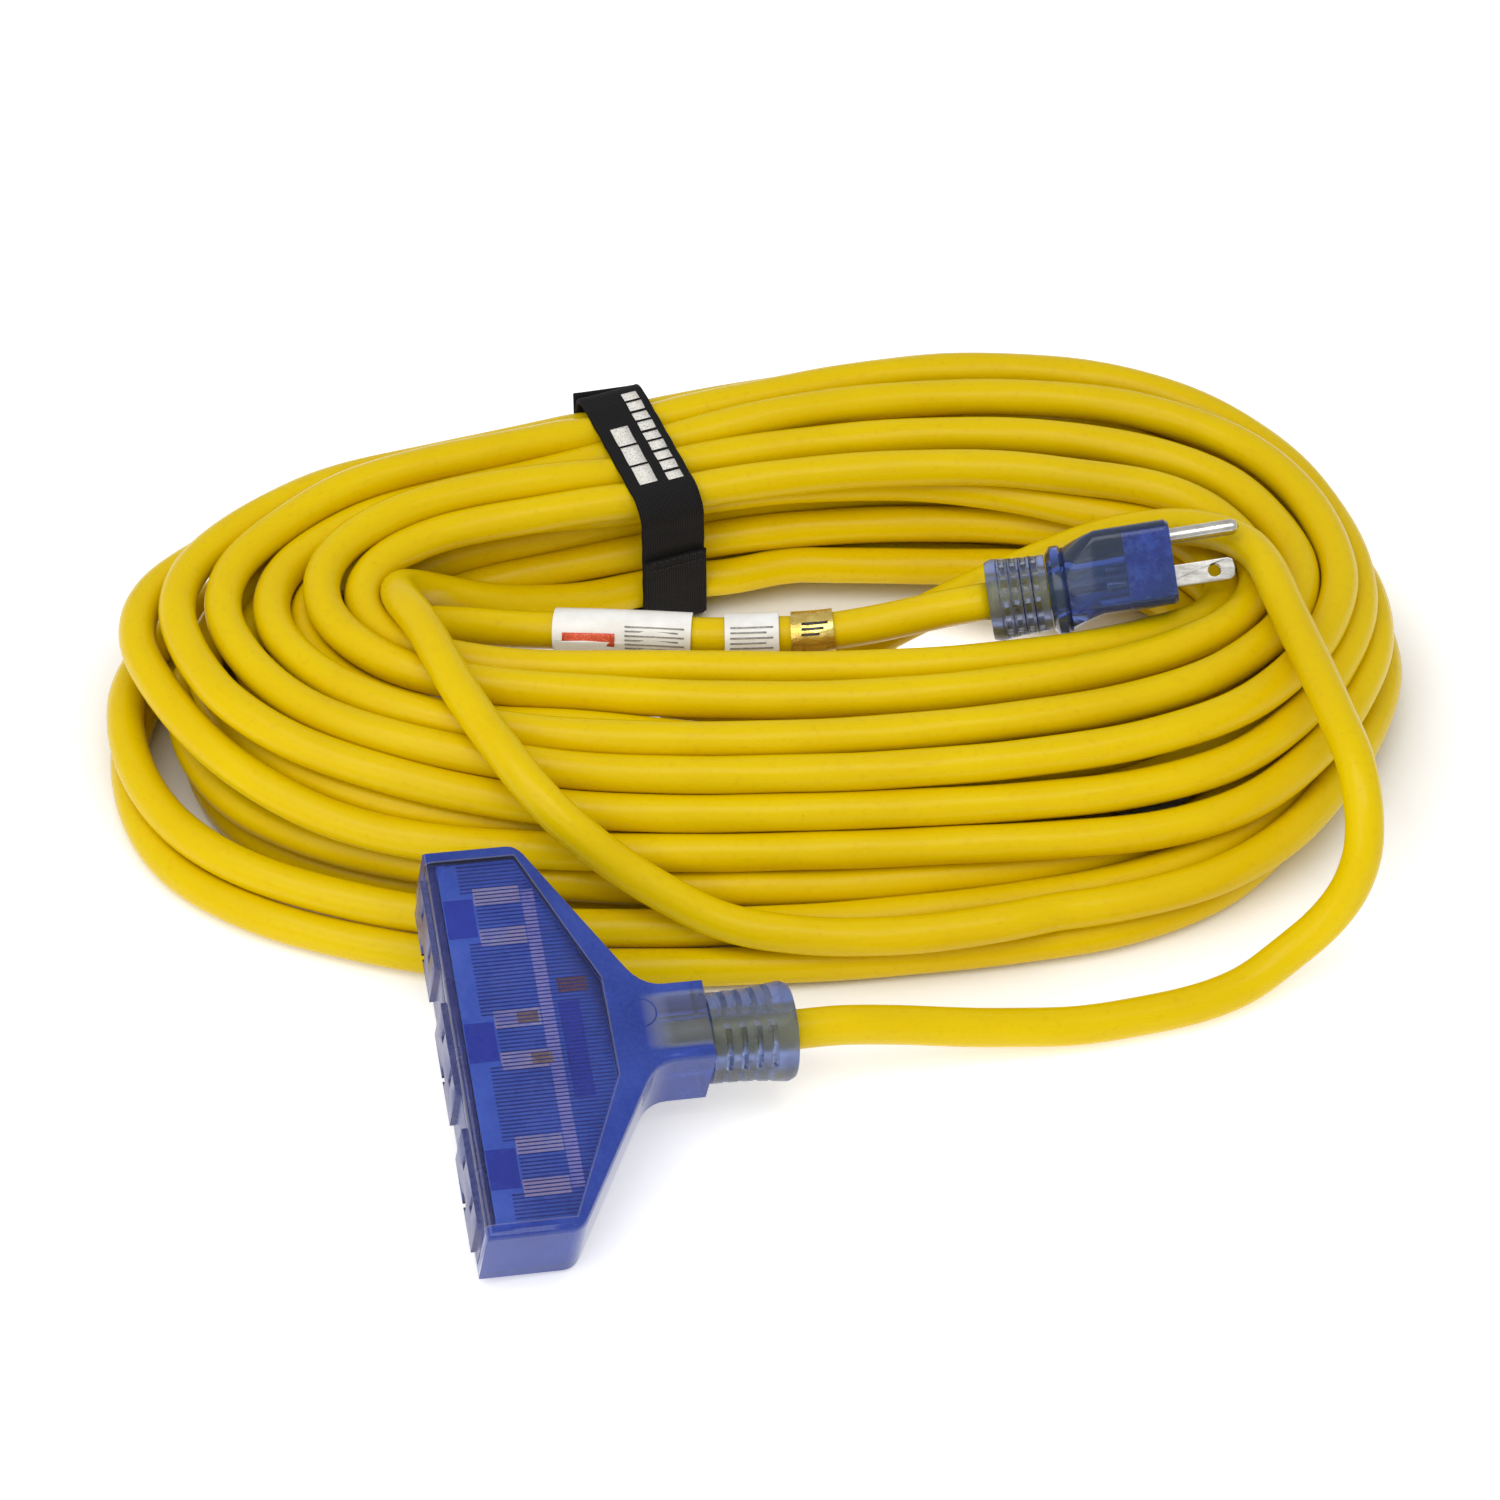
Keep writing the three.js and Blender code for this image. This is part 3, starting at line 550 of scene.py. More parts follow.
class Finish:
    """A node material: its shader's constants first, then what drives the rest."""

    def __init__(self, name, **constants):
        self.material = bpy.data.materials.new(name)
        self.material.use_nodes = True
        self.tree = self.material.node_tree
        self.shader = self.tree.nodes["Principled BSDF"]
        for socket, value in constants.items():
            self.shader.inputs[socket.replace("_", " ")].default_value = value
        self.place = self.node("ShaderNodeTexCoord")

    def node(self, kind, **settings):
        made = self.tree.nodes.new(kind)
        for key, value in settings.items():
            setattr(made, key, value)
        return made

    def set(self, socket, value):
        """Gives an input a number, a colour or another node's output."""
        if isinstance(value, bpy.types.NodeSocket):
            self.tree.links.new(value, socket)
        else:
            socket.default_value = value

    def coordinates(self, source="Object", scale=(1, 1, 1), turn=(0, 0, 0), shift=(0, 0, 0)):
        mapping = self.node("ShaderNodeMapping")
        self.set(mapping.inputs["Vector"], self.place.outputs[source])
        self.set(mapping.inputs["Scale"], scale)
        self.set(mapping.inputs["Rotation"], turn)
        self.set(mapping.inputs["Location"], shift)
        return mapping.outputs[0]

    def local(self, matrix):
        """x, y and z of a point in a local frame."""
        mapping = self.node("ShaderNodeMapping", vector_type="TEXTURE")
        self.set(mapping.inputs["Vector"], self.place.outputs["Object"])
        self.set(mapping.inputs["Location"], matrix.translation)
        self.set(mapping.inputs["Rotation"], matrix.to_euler())
        split = self.node("ShaderNodeSeparateXYZ")
        self.set(split.inputs[0], mapping.outputs[0])
        return split.outputs

    def oval(self, middle, radii):
        """1 on an upright oval's outline, less inside it and more outside."""
        shift = [-c / r for c, r in zip(middle, radii)]
        centred = self.coordinates(scale=(1 / radii[0], 1 / radii[1], 0), shift=(*shift, 0))
        distance = self.node("ShaderNodeVectorMath", operation="LENGTH")
        self.set(distance.inputs[0], centred)
        return distance.outputs["Value"]

    def noise(self, scale, detail=2.0, where=None, roughness=0.5):
        texture = self.node("ShaderNodeTexNoise")
        self.set(texture.inputs["Vector"], where or self.place.outputs["Object"])
        self.set(texture.inputs["Scale"], scale)
        self.set(texture.inputs["Detail"], detail)
        self.set(texture.inputs["Roughness"], roughness)
        return texture.outputs[0]

    def waves(self, scale, where, direction):
        texture = self.node("ShaderNodeTexWave", bands_direction=direction)
        self.set(texture.inputs["Vector"], where)
        self.set(texture.inputs["Scale"], scale)
        return texture.outputs[1]

    def specks(self, scale, size, share):
        """Sparse round spots: 1 inside a spot, 0 elsewhere."""
        cells = self.node("ShaderNodeTexVoronoi")
        self.set(cells.inputs["Vector"], self.place.outputs["Object"])
        self.set(cells.inputs["Scale"], scale)
        chosen = self.math("LESS_THAN", cells.outputs["Color"], share)
        return self.math("MULTIPLY", self.math("LESS_THAN", cells.outputs["Distance"], size), chosen)

    def math(self, operation, first, second=0.0):
        made = self.node("ShaderNodeMath", operation=operation)
        self.set(made.inputs[0], first)
        self.set(made.inputs[1], second)
        return made.outputs[0]

    def stretch(self, value, low, high, to_low=0.0, to_high=1.0):
        made = self.node("ShaderNodeMapRange")
        for socket, given in zip(made.inputs, (value, low, high, to_low, to_high)):
            self.set(socket, given)
        return made.outputs[0]

    def mix(self, factor, first, second):
        made = self.node("ShaderNodeMix", data_type="RGBA")
        self.set(made.inputs["Factor"], factor)
        self.set(made.inputs[6], first)
        self.set(made.inputs[7], second)
        return made.outputs[2]

    def bump(self, height, distance, strength=1.0, normal=None):
        made = self.node("ShaderNodeBump")
        self.set(made.inputs["Strength"], strength)
        self.set(made.inputs["Distance"], distance)
        self.set(made.inputs["Height"], height)
        if normal:
            self.set(made.inputs["Normal"], normal)
        return made.outputs[0]

    def drive(self, **sockets):
        for socket, value in sockets.items():
            self.set(self.shader.inputs[socket.replace("_", " ")], value)
        return self.material


def jacket_finish():
    """Semi-gloss yellow PVC: faint mottling, lengthwise drag marks, a few dirt specks."""
    f = Finish("cord_jacket", Specular_IOR_Level=0.14, Subsurface_Weight=0.15,
               Subsurface_Radius=(0.004, 0.002, 0.0002), Subsurface_Scale=0.5)
    broad = f.stretch(f.noise(22, 3), 0.3, 0.7)
    base = f.mix(broad, linear(224, 193, 0), linear(217, 184, 0))
    dirty = f.math("MULTIPLY", f.stretch(f.noise(420, 4), 0.56, 0.74), 0.25)
    base = f.mix(dirty, base, linear(196, 156, 4))
    base = f.mix(f.specks(95, 0.045, 0.12), base, linear(84, 62, 16))
    drag = f.noise(9, 4, f.coordinates("UV", scale=(160, 2.5, 1)))
    grain = f.noise(2600, 3)
    marks = f.math("ADD", f.math("MULTIPLY", drag, 0.5), f.math("MULTIPLY", broad, 0.5))
    rough = f.stretch(marks, 0.25, 0.75, 0.20, 0.32)
    normal = f.bump(drag, 0.00004, 0.6, f.bump(grain, 0.00003, 0.5))
    return f.drive(Base_Color=base, Roughness=rough, Normal=normal)


def tinted_finish(name, deep, pale, clear, rough, streak=0.35, haze=None, coat=0.0):
    """Tinted flexible PVC: a cloudy clear plastic with a soft gloss.

    Haze is its patches' colour, their scale, the noise they start at and their strength.
    """
    f = Finish(name, IOR=1.34, Transmission_Weight=clear, Coat_Weight=coat, Coat_Roughness=0.15)
    cloud = f.stretch(f.noise(55, 4), 0.34, 0.66)
    fine = f.stretch(f.noise(900, 3), 0.35, 0.65)
    shade = f.math("ADD", f.math("MULTIPLY", cloud, 1 - streak), f.math("MULTIPLY", fine, streak))
    colour = f.mix(shade, linear(*deep), linear(*pale))
    if haze:
        tint, scale, start, strength = haze
        patches = f.stretch(f.noise(scale, 5, roughness=0.7), start, start + 0.18, 0, strength)
        colour = f.mix(patches, colour, linear(*tint))
    roughness = f.stretch(cloud, 0, 1, rough * 0.85, rough * 1.2)
    normal = f.bump(f.noise(180, 4), 0.00012, 0.25, f.bump(fine, 0.000006, 0.4))
    f.drive(Base_Color=colour, Roughness=roughness, Normal=normal)
    f.colour = colour
    return f


def absorbing(f, colour, density):
    """Lets thick parts of a clear moulding look deeper than thin ones."""
    absorb = f.node("ShaderNodeVolumeAbsorption")
    absorb.inputs["Color"].default_value = (*colour, 1)
    absorb.inputs["Density"].default_value = density
    output = f.tree.nodes["Material Output"]
    f.tree.links.new(absorb.outputs[0], output.inputs["Volume"])
    return f.material


def metal_finish(name, bright, dull, rough):
    """Stamped or plated metal: fine scratches along the part and slight tarnish."""
    f = Finish(name, Metallic=1.0)
    scratch = f.noise(1, 5, f.coordinates(scale=(84, 420, 840)))
    tarnish = f.stretch(f.noise(260, 4), 0.35, 0.7)
    colour = f.mix(tarnish, linear(*bright), linear(*dull))
    roughness = f.stretch(scratch, 0.3, 0.7, rough * 0.7, rough * 1.5)
    return f.drive(Base_Color=colour, Roughness=roughness, Normal=f.bump(scratch, 0.00002, 0.5))


def grained_finish(name, first, second, rough, grain, spread, relief=None, steps=False,
                   **constants):
    """Colour, gloss and relief all follow one grain: its scale, detail and roughness.

    With steps, gloss and relief follow the grain as spread for the colour.
    """
    f = Finish(name, **constants)
    scale, detail, roughness = grain
    pattern = f.noise(scale, detail, roughness=roughness)
    share = f.stretch(pattern, *spread)
    base = f.mix(share, linear(*first), linear(*second))
    if steps:
        pattern = share
    gloss = f.stretch(pattern, 0, 1, *rough) if steps else f.stretch(pattern, 0.3, 0.7, *rough)
    if relief:
        f.drive(Normal=f.bump(pattern, *relief))
    return f.drive(Base_Color=base, Roughness=gloss)


def wire_finish(name, colour, worn):
    """Smooth wire insulation with a faint drawn grain."""
    return grained_finish(name, colour, worn, (0.35, 0.5), (600, 3, 0.5), (0.4, 0.7),
                          (0.00002, 0.5), Coat_Weight=0.1, Coat_Roughness=0.3)


def ink_finish(name, colour):
    thin = [min(255, c + 60) for c in colour]
    return grained_finish(name, thin, colour, (0.65, 0.45), (2500, 3, 0.5), (0.3, 0.55),
                          (0.00002, 0.5), steps=True)


def webbing_finish(name, dark, light):
    """Black woven hook-and-loop tape: a fine twill of warp and weft threads, with painted shade in
    its hollows.
    """
    f = Finish(name, Specular_IOR_Level=0.2)
    warp = f.waves(1, f.coordinates("UV", scale=(420, 60, 1)), "X")
    weft = f.waves(1, f.coordinates("UV", scale=(90, 520, 1), turn=(0, 0, 0.45)), "Y")
    weave = f.math("MULTIPLY", warp, weft)
    fuzz = f.noise(3200, 4)
    height = f.math("ADD", weave, f.math("MULTIPLY", fuzz, 0.5))
    # Painted shade and sheen: colour follows the weave's height, darker in the hollows and lighter on
    # raised threads, with random fuzz.
    base = f.mix(f.stretch(height, 0.2, 1.1), linear(*dark), linear(*light))
    return f.drive(Base_Color=base, Roughness=f.stretch(fuzz, 0.3, 0.7, 0.75, 0.95),
                   Normal=f.bump(height, 0.00012, 0.8))


def floor_finish():
    """White paper sweep that glows round the coil and in its hole: painted light that lifts the
    shadows there.
    """
    f = Finish("floor_paper", Specular_IOR_Level=0.1, Emission_Color=(1, 1, 1, 1))
    fibre = f.noise(60, 3)
    base = f.mix(f.stretch(fibre, 0.3, 0.7), (0.88, 0.88, 0.88, 1), (0.9, 0.9, 0.9, 1))
    # Painted light: emission outside the coil's outline and inside its hole lifts the floor's
    # shadows.
    outside = f.stretch(f.oval((0, 0.055), (0.185, 0.105)), 1.0, 1.25, 0, 0.4)
    in_hole = f.stretch(f.oval((0.020, 0.068), (0.112, 0.033)), 0.7, 1.0, 0.85, 0)
    return f.drive(Base_Color=base, Roughness=0.9,
                   Emission_Strength=f.math("MAXIMUM", outside, in_hole))


JACKET = jacket_finish()
BLUE_TINT = (0.20, 0.33, 0.72)
INSERT_HALF = 0.0552
INSERT_STRAIGHT = 0.025
INSERT_REAR = 0.043
INSERT_REAR_HALF = 0.015
INSERT_SLOPE = (INSERT_REAR - INSERT_STRAIGHT) / (INSERT_HALF - INSERT_REAR_HALF)


def shell_finish():
    """The block's overmould: a deep cloudy blue frame, clear over the insert and the neck."""
    f = tinted_finish("shell_blue", (46, 72, 174), (70, 98, 198), 0.5, 0.08, coat=0.15)
    x, y, _ = f.local(BLOCK)
    side = f.math("ABSOLUTE", y)
    beyond = f.math("MAXIMUM", f.math("SUBTRACT", side, INSERT_REAR_HALF), 0)
    rear = f.math("SUBTRACT", INSERT_REAR, f.math("MULTIPLY", beyond, INSERT_SLOPE))
    inside = f.math("MINIMUM", f.math("SUBTRACT", rear, x), f.math("SUBTRACT", INSERT_HALF, side))
    window = f.stretch(inside, -0.0003, 0.0003)
    neck = f.math("MULTIPLY", f.stretch(x, 0.052, 0.060), f.stretch(side, 0.0070, 0.0088, 1, 0))
    colour = f.mix(neck, f.colour, linear(204, 212, 238))
    colour = f.mix(window, colour, linear(214, 218, 252))
    clear = f.math("MAXIMUM", f.stretch(window, 0, 1, 0.5, 1.0), f.stretch(neck, 0, 1, 0.5, 0.9))
    f.drive(Base_Color=colour, Transmission_Weight=clear)
    return absorbing(f, BLUE_TINT, 60)


SHELL_BLUE = shell_finish()
RELIEF_BLUE = absorbing(tinted_finish("relief_blue", (204, 214, 238), (218, 226, 244), 0.93, 0.28),
                        BLUE_TINT, 75)
PLUG_BLUE = absorbing(tinted_finish("plug_blue", (122, 154, 226), (158, 184, 240), 0.93, 0.06,
                                    coat=0.15), BLUE_TINT, 105)
HOLDER_BLUE = tinted_finish("holder_blue", (64, 76, 176), (104, 116, 206), 0.35, 0.1,
                            haze=((244, 246, 255), 210, 0.44, 0.9)).material
INSERT_CLEAR = tinted_finish("insert_clear", (80, 128, 204), (112, 158, 226), 0.1, 0.3,
                             haze=((150, 176, 228), 38, 0.5, 0.6)).material
FACE_CLEAR = tinted_finish("face_clear", (70, 80, 144), (108, 114, 170), 0.35, 0.3, streak=0.6,
                           haze=((144, 136, 164), 38, 0.5, 0.6)).material
PANEL_DEEP = tinted_finish("panel_deep_blue", (44, 74, 176), (64, 96, 200), 0.1, 0.3).material
PANEL_CREAM = tinted_finish("panel_cream", (244, 208, 190), (255, 240, 216), 0.0, 0.3,
                            haze=((140, 150, 210), 110, 0.5, 0.6)).material
PANEL_PINK = tinted_finish("panel_pink", (206, 190, 210), (240, 222, 228), 0.0, 0.3,
                           haze=((118, 136, 210), 90, 0.5, 0.6)).material
RIB_LINE = tinted_finish("rib_line", (36, 58, 138), (60, 82, 160), 0.1, 0.25).material
# Dark navy lines: the insert's edge, and painted shade in the plug's grooves.
EDGE_LINE = tinted_finish("edge_line", (14, 20, 74), (24, 34, 96), 0.1, 0.3).material
BRASS = metal_finish("contact_brass", (226, 186, 122), (190, 144, 84), 0.3)
NICKEL = metal_finish("blade_nickel", (218, 216, 210), (190, 186, 178), 0.22)
BLACK_WIRE = wire_finish("insulation_black", (24, 24, 27), (44, 43, 46))
WHITE_WIRE = wire_finish("insulation_white", (236, 234, 226), (216, 212, 200))
GREEN_WIRE = wire_finish("insulation_green", (16, 128, 78), (40, 150, 96))
LAMP = grained_finish("lamp_glass", (236, 170, 110), (246, 200, 150), (0.05, 0.15),
                      (700, 2, 0.5), (0.4, 0.6), Transmission_Weight=0.7, IOR=1.45)
CERAMIC = grained_finish("resistor_ceramic", (172, 108, 76), (136, 74, 52), (0.6, 0.6),
                         (1800, 4, 0.5), (0.4, 0.7), (0.00003, 0.7))
WEBBING = webbing_finish("strap_webbing", (10, 9, 10), (40, 38, 39))
THREAD = webbing_finish("strap_thread", (38, 36, 38), (70, 68, 70))
# Off-white rubbery ink on the weave.
PRINT = grained_finish("strap_print", (150, 146, 140), (233, 230, 222), (0.8, 0.55),
                       (2200, 4, 0.5), (0.28, 0.5), (0.00004, 0.6), steps=True)
# White film with slight creases and a satin face.
PAPER = grained_finish("label_paper", (243, 242, 238), (228, 226, 219), (0.4, 0.6),
                       (120, 4, 0.6), (0.35, 0.7), (0.0004, 0.35),
                       Coat_Weight=0.15, Coat_Roughness=0.25)
GREY_INK = ink_finish("label_grey_ink", (128, 126, 122))
RED_INK = ink_finish("label_red_ink", (214, 76, 44))
# Gold foil, crinkled round the cord.
FOIL = grained_finish("label_foil", (240, 214, 128), (206, 170, 78), (0.16, 0.34),
                      (150, 5, 0.65), (0.35, 0.65), (0.0008, 0.7), Metallic=0.9)
FLOOR = floor_finish()

# ---------- carried-over nodes

NODE_FINISHES = [
    (SHELL_BLUE, ["socket_shell"]),
    (RELIEF_BLUE, ["socket_strain_relief", "plug_strain_relief"]),
    (FACE_CLEAR, ["socket_outlet_face"]),
    (INSERT_CLEAR, ["socket_contact_carrier"]),
    (PLUG_BLUE, ["plug_body"]),
    (HOLDER_BLUE, ["plug_blade_holder"]),
    (NICKEL, ["plug_blade_line", "plug_blade_neutral", "plug_ground_pin"]),
    (BRASS, ["socket_line_bus", "socket_neutral_bus", "socket_ground_bus",
             "plug_crimp_line", "plug_crimp_neutral", "plug_crimp_ground"]),
    (BLACK_WIRE, ["socket_lead_black", "plug_lead_black"]),
    (WHITE_WIRE, ["socket_lead_white", "plug_lead_white"]),
    (GREEN_WIRE, ["socket_lead_green", "plug_lead_green"]),
    (JACKET, ["cord_end_in_socket", "cord_end_in_plug"]),
    (LAMP, ["indicator_lamp"]),
    (CERAMIC, ["lamp_resistor"]),
    (PAPER, ["label_flag", "label_wrap"]),
    (FOIL, ["label_foil"]),
]
# Edge rounding of the mouldings and stampings.
NODE_BEVEL = {
    "socket_shell": 0.0009, "socket_strain_relief": 0.0004,
    "plug_body": 0.0006, "plug_strain_relief": 0.0003,
    "plug_blade_line": 0.00025, "plug_blade_neutral": 0.00025, "plug_ground_pin": 0.0002,
    "socket_line_bus": 0.00015, "socket_neutral_bus": 0.00015, "socket_ground_bus": 0.00015,
}


def dress_node(name, material):
    """Gives a CAD node its finish, rounded edges and smooth shading."""
    node = frame["nodes"][name]
    node.data.materials.clear()
    node.data.materials.append(material)
    weld = node.modifiers.new("weld", "WELD")
    weld.merge_threshold = 0.00001
    if name in NODE_BEVEL:
        bevel = node.modifiers.new("bevel", "BEVEL")
        bevel.width = NODE_BEVEL[name]
        bevel.segments = 3
        bevel.limit_method = "ANGLE"
        bevel.angle_limit = math.radians(32)
    weighted = node.modifiers.new("normals", "WEIGHTED_NORMAL")
    weighted.weight = 90
    node.data.polygons.foreach_set("use_smooth", [True] * len(node.data.polygons))


for finish, node_names in NODE_FINISHES:
    for node_name in node_names:
        dress_node(node_name, finish)

# ---------- the cord

route = cord_route()
ring_line, _ = even_line(route, 0.003)
cord = round_tube("cord", ring_line, CORD_RADIUS - 0.00004, 18, JACKET, ripple=0.00007, lay=0.12)
carry(cord, CORD_SET, "cord_jacket", "cord_coil", "cord_socket_lead", "cord_plug_lead")

# ---------- the strap

STRAP_WIDTH = 0.020
STRAP_THICK = 0.0016
STRAP_CORNER = 0.007
STRAP_STEP = 0.0011
STRAND_LIFT = 0.00018                   # the band waves over the strands of the run
STRAND_PITCH = 0.0098


def strap_outline(margin):
    """Closed path of the band in the strap's own x and y, from the bottom's middle."""
    x0, x1 = STRAP_SPAN[0] - margin, STRAP_SPAN[1] + margin
    y0, y1 = STRAP_RISE[0] - margin, STRAP_RISE[1] + margin
    corners = [(x1, y0, 0.002, -90), (x1, y1, STRAP_CORNER, 0),
               (x0, y1, STRAP_CORNER, 90), (x0, y0, 0.002, 180)]
    points = [((x0 + x1) / 2, y0)]
    for x, y, r, start in corners:
        cx = x - math.copysign(r, x - (x0 + x1) / 2)
        cy = y - math.copysign(r, y - (y0 + y1) / 2)
        for k in range(7):
            a = math.radians(start + 15 * k)
            points.append((cx + r * math.cos(a), cy + r * math.sin(a)))
    points.append(points[0])
    points = np.array(points)
    run = run_along(points)
    even = np.arange(0, run[-1], STRAP_STEP)
    return np.stack([np.interp(even, run, points[:, k]) for k in range(2)], 1)


def band_surface(path):
    """Middle line of the closed band, its outward normals and the run along it."""
    tangent = np.roll(path, -1, 0) - np.roll(path, 1, 0)
    tangent /= np.linalg.norm(tangent, axis=1)[:, None]
    normal = np.stack([tangent[:, 1], -tangent[:, 0]], 1)
    run = STRAP_STEP * np.arange(len(path))
    wave = STRAND_LIFT * np.sin(2 * np.pi * run / STRAND_PITCH)
    return path + normal * wave[:, None], normal, run


def ribbon(name, surface, thick, closed=False, end_skew=0.0):
    """A woven strap swept along a path in the strap's x and y, with rounded selvedges."""
    path, normal, run = surface
    half = STRAP_WIDTH / 2
    edge = 0.0006
    # Section from one selvedge over the outer face to the other and back.
    section = [(z, 0.5) for z in np.linspace(-half + edge, half - edge, 9)]
    section += [(half - 0.0002, 0.34), (half, 0), (half - 0.0002, -0.34)]
    section += [(-z, -side) for z, side in section]
    rib = np.array([1 + 0.16 * (abs(z) > half - 0.0016) for z, _ in section])
    vertices, uv = [], []
    for k, (point, out, s) in enumerate(zip(path, normal, run)):
        for (z, side), swell in zip(section, rib):
            skewed = end_skew * (z / half) * (k / (len(path) - 1))
            moved = point + out * side * thick * swell
            vertices.append(STRAP @ Vector((moved[0], moved[1] + skewed, z)))
            uv.append((z, s + (0.5 if side < 0 else 0)))
    count = len(section)
    faces = tube_faces(len(path), count)
    if closed:
        last = (len(path) - 1) * count
        join = [(last + j, last + (j + 1) % count, (j + 1) % count, j) for j in range(count)]
        faces = faces[:-2] + join
    piece = piece_from(name, vertices, faces, WEBBING)
    set_uv(piece, uv)
    return piece


def print_on_strap(name, surface, places, lift):
    """Thin patches lying on the strap's outer face: (from, to along, from, to across)."""
    path, normal, run = surface
    vertices, faces = [], []
    for s0, s1, z0, z1 in places:
        rows = np.linspace(s0, s1, max(2, int((s1 - s0) / 0.0008) + 2))
        start = len(vertices)
        for s in rows:
            point = np.array([np.interp(s, run, path[:, k]) for k in range(2)])
            out = np.array([np.interp(s, run, normal[:, k]) for k in range(2)])
            out /= np.linalg.norm(out)
            moved = point + out * lift
            for z in (z0, z1):
                vertices.append(STRAP @ Vector((moved[0], moved[1], z)))
        faces += [tuple(start + v for v in face) for face in grid_faces(len(rows), 2)]
    ink_patches(name, vertices, faces, PRINT, "strap_webbing")


BAND = band_surface(strap_outline(STRAP_THICK / 2))
band = ribbon("strap_band_woven", BAND, STRAP_THICK, closed=True)
carry(band, CORD_SET, "strap_webbing", "strap_band")


def straight_strap(x, low, high, outward):
    """A straight upright stretch of strap. Its outer face looks along +x or -x."""
    rows = np.arange(low, high + STRAP_STEP / 2, STRAP_STEP)
    path = np.stack([np.full_like(rows, x), rows], 1)
    normal = np.stack([np.full_like(rows, outward), np.zeros_like(rows)], 1)
    return path, normal, rows - low


tab_x = STRAP_SPAN[0] - STRAP_THICK - 0.00035 - 0.00075
tab = ribbon("strap_tab_woven", straight_strap(tab_x, 0.0122, 0.0455, -1), 0.0013,
             end_skew=0.0014)
carry(tab, FREE_END, "strap_webbing", "strap_tab")

panel_x = STRAP_SPAN[1] + STRAP_THICK + 0.00035 + 0.0006
panel = ribbon("strap_hook_panel_woven", straight_strap(panel_x, 0.0042, 0.030, 1), 0.0011)
carry(panel, CORD_SET, "strap_webbing", "strap_hook_panel")

# Printed rows: first place along the band, from and to across it, blocks, their pitch.
PRINT_ROWS = [(0.0830, -0.0074, -0.0026, 9, 0.0048), (0.0840, 0.0006, 0.0062, 3, 0.0092)]
PRINT_GAP = 0.0011


def print_blocks():
    """Two rows of plain blocks, where such a strap carries its maker's print."""
    places = []
    for start, low, high, count, pitch in PRINT_ROWS:
        for k in range(count):
            first = start + k * pitch
            places.append((first, first + pitch - PRINT_GAP, low, high))
    return places


print_on_strap("strap_print", BAND, print_blocks(), STRAP_THICK / 2 + 0.00008)

STITCH_ROWS = [0.0292, 0.0262]
STITCH_COUNT = 8


def stitch_boxes():
    """Rows of short stitches that hold the hook panel to the band."""
    face = panel_x + 0.00055
    pitch = (STRAP_WIDTH - 0.003) / STITCH_COUNT
    boxes = []
    for y in STITCH_ROWS:
        for k in range(STITCH_COUNT):
            z = -STRAP_WIDTH / 2 + 0.0015 + k * pitch
            low = (face - 0.0002, y - 0.0002, z)
            boxes.append((low, (face + 0.00035, y + 0.0002, z + 0.7 * pitch)))
    return boxes


boxes_piece("strap_stitches", stitch_boxes(), STRAP, THREAD, 0.00012, "strap_webbing")

# ---------- inside the socket block

OUTLETS = [-0.0381, 0, 0.0381]
HALF_SPACING = 0.00635
CARRIER_TOP = 0.02426
CARRIER_BOTTOM = 0.00374
RIB_PITCH = 0.00115


def rear_edge(y):
    """The insert's rear edge at a place along the block."""
    return INSERT_REAR - max(0, abs(y) - INSERT_REAR_HALF) * INSERT_SLOPE


def plates(spans, low=0.00002, high=0.00012):
    """Thin plates on top of the contact carrier, and their twins underneath."""
    boxes = []
    for x0, x1, y0, y1 in spans:
        boxes.append(((x0, y0, CARRIER_TOP + low), (x1, y1, CARRIER_TOP + high)))
        boxes.append(((x0, y0, CARRIER_BOTTOM - high), (x1, y1, CARRIER_BOTTOM - low)))
    return boxes


def rib_spans():
    """Fine ribs across the insert, from behind the outlets to its rear edge."""
    count = int(2 * (INSERT_HALF - 0.001) / RIB_PITCH)
    spans = []
    for k in range(count + 1):
        y = (k - count / 2) * RIB_PITCH
        beside_outlet = min(abs(y - c) for c in OUTLETS) < 0.0075
        start = 0.0124 if beside_outlet else 0.0088
        spans.append((start, rear_edge(y) - 0.0006, y - 0.00018, y + 0.00018))
    return spans


# Walls and roofs of the rooms inside the insert: from and to along x, then along y.
WALL = HALF_SPACING - 0.0004
CHAMBERS = [y + side * HALF_SPACING for y in OUTLETS for side in (-1, 1)]
BOSS_WALLS = [(0.0036, 0.0118, y - WALL, y + WALL) for y in OUTLETS]
CHAMBER_ROOFS = [(0.0122, 0.0250, y - 0.0026, y + 0.0026) for y in CHAMBERS]
BUS_CHANNEL = [(0.0253, 0.0289, -0.0455, 0.0455)]
LEAD_RECESS = [(0.0303, 0.0362, -0.0190, 0.0100)]
RESISTOR_ROOF = [(0.0310, 0.0392, 0.0128, 0.0172)]
# Folded contact ends that show as bright tabs over the middle outlet.
CONTACT_TABS = [(x, x + 0.0058, y - 0.0019, y + 0.0019)
                for x, y in ((0.0205, -HALF_SPACING), (0.0185, HALF_SPACING))]
BLOCK_DETAILS = [
    ("socket_ribs", plates(rib_spans(), 0.00014, 0.0003), RIB_LINE, "clear_insert"),
    ("socket_boss_walls", plates(BOSS_WALLS), PANEL_DEEP, "clear_insert"),
    ("socket_chamber_roofs", plates(CHAMBER_ROOFS), PANEL_CREAM, "clear_insert"),
    ("socket_bus_channel", plates(BUS_CHANNEL), PANEL_PINK, "clear_insert"),
    ("socket_lead_recess", plates(LEAD_RECESS), PANEL_DEEP, "clear_insert"),
    ("socket_resistor_roof", plates(RESISTOR_ROOF), CERAMIC, "resistor_ceramic"),
    ("socket_contact_tabs", plates(CONTACT_TABS, 0.00012, 0.00022), BRASS, "contact_brass"),
]
for detail, boxes, finish, record_slot in BLOCK_DETAILS:
    boxes_piece(detail, boxes, BLOCK, finish, 0.00004, record_slot)


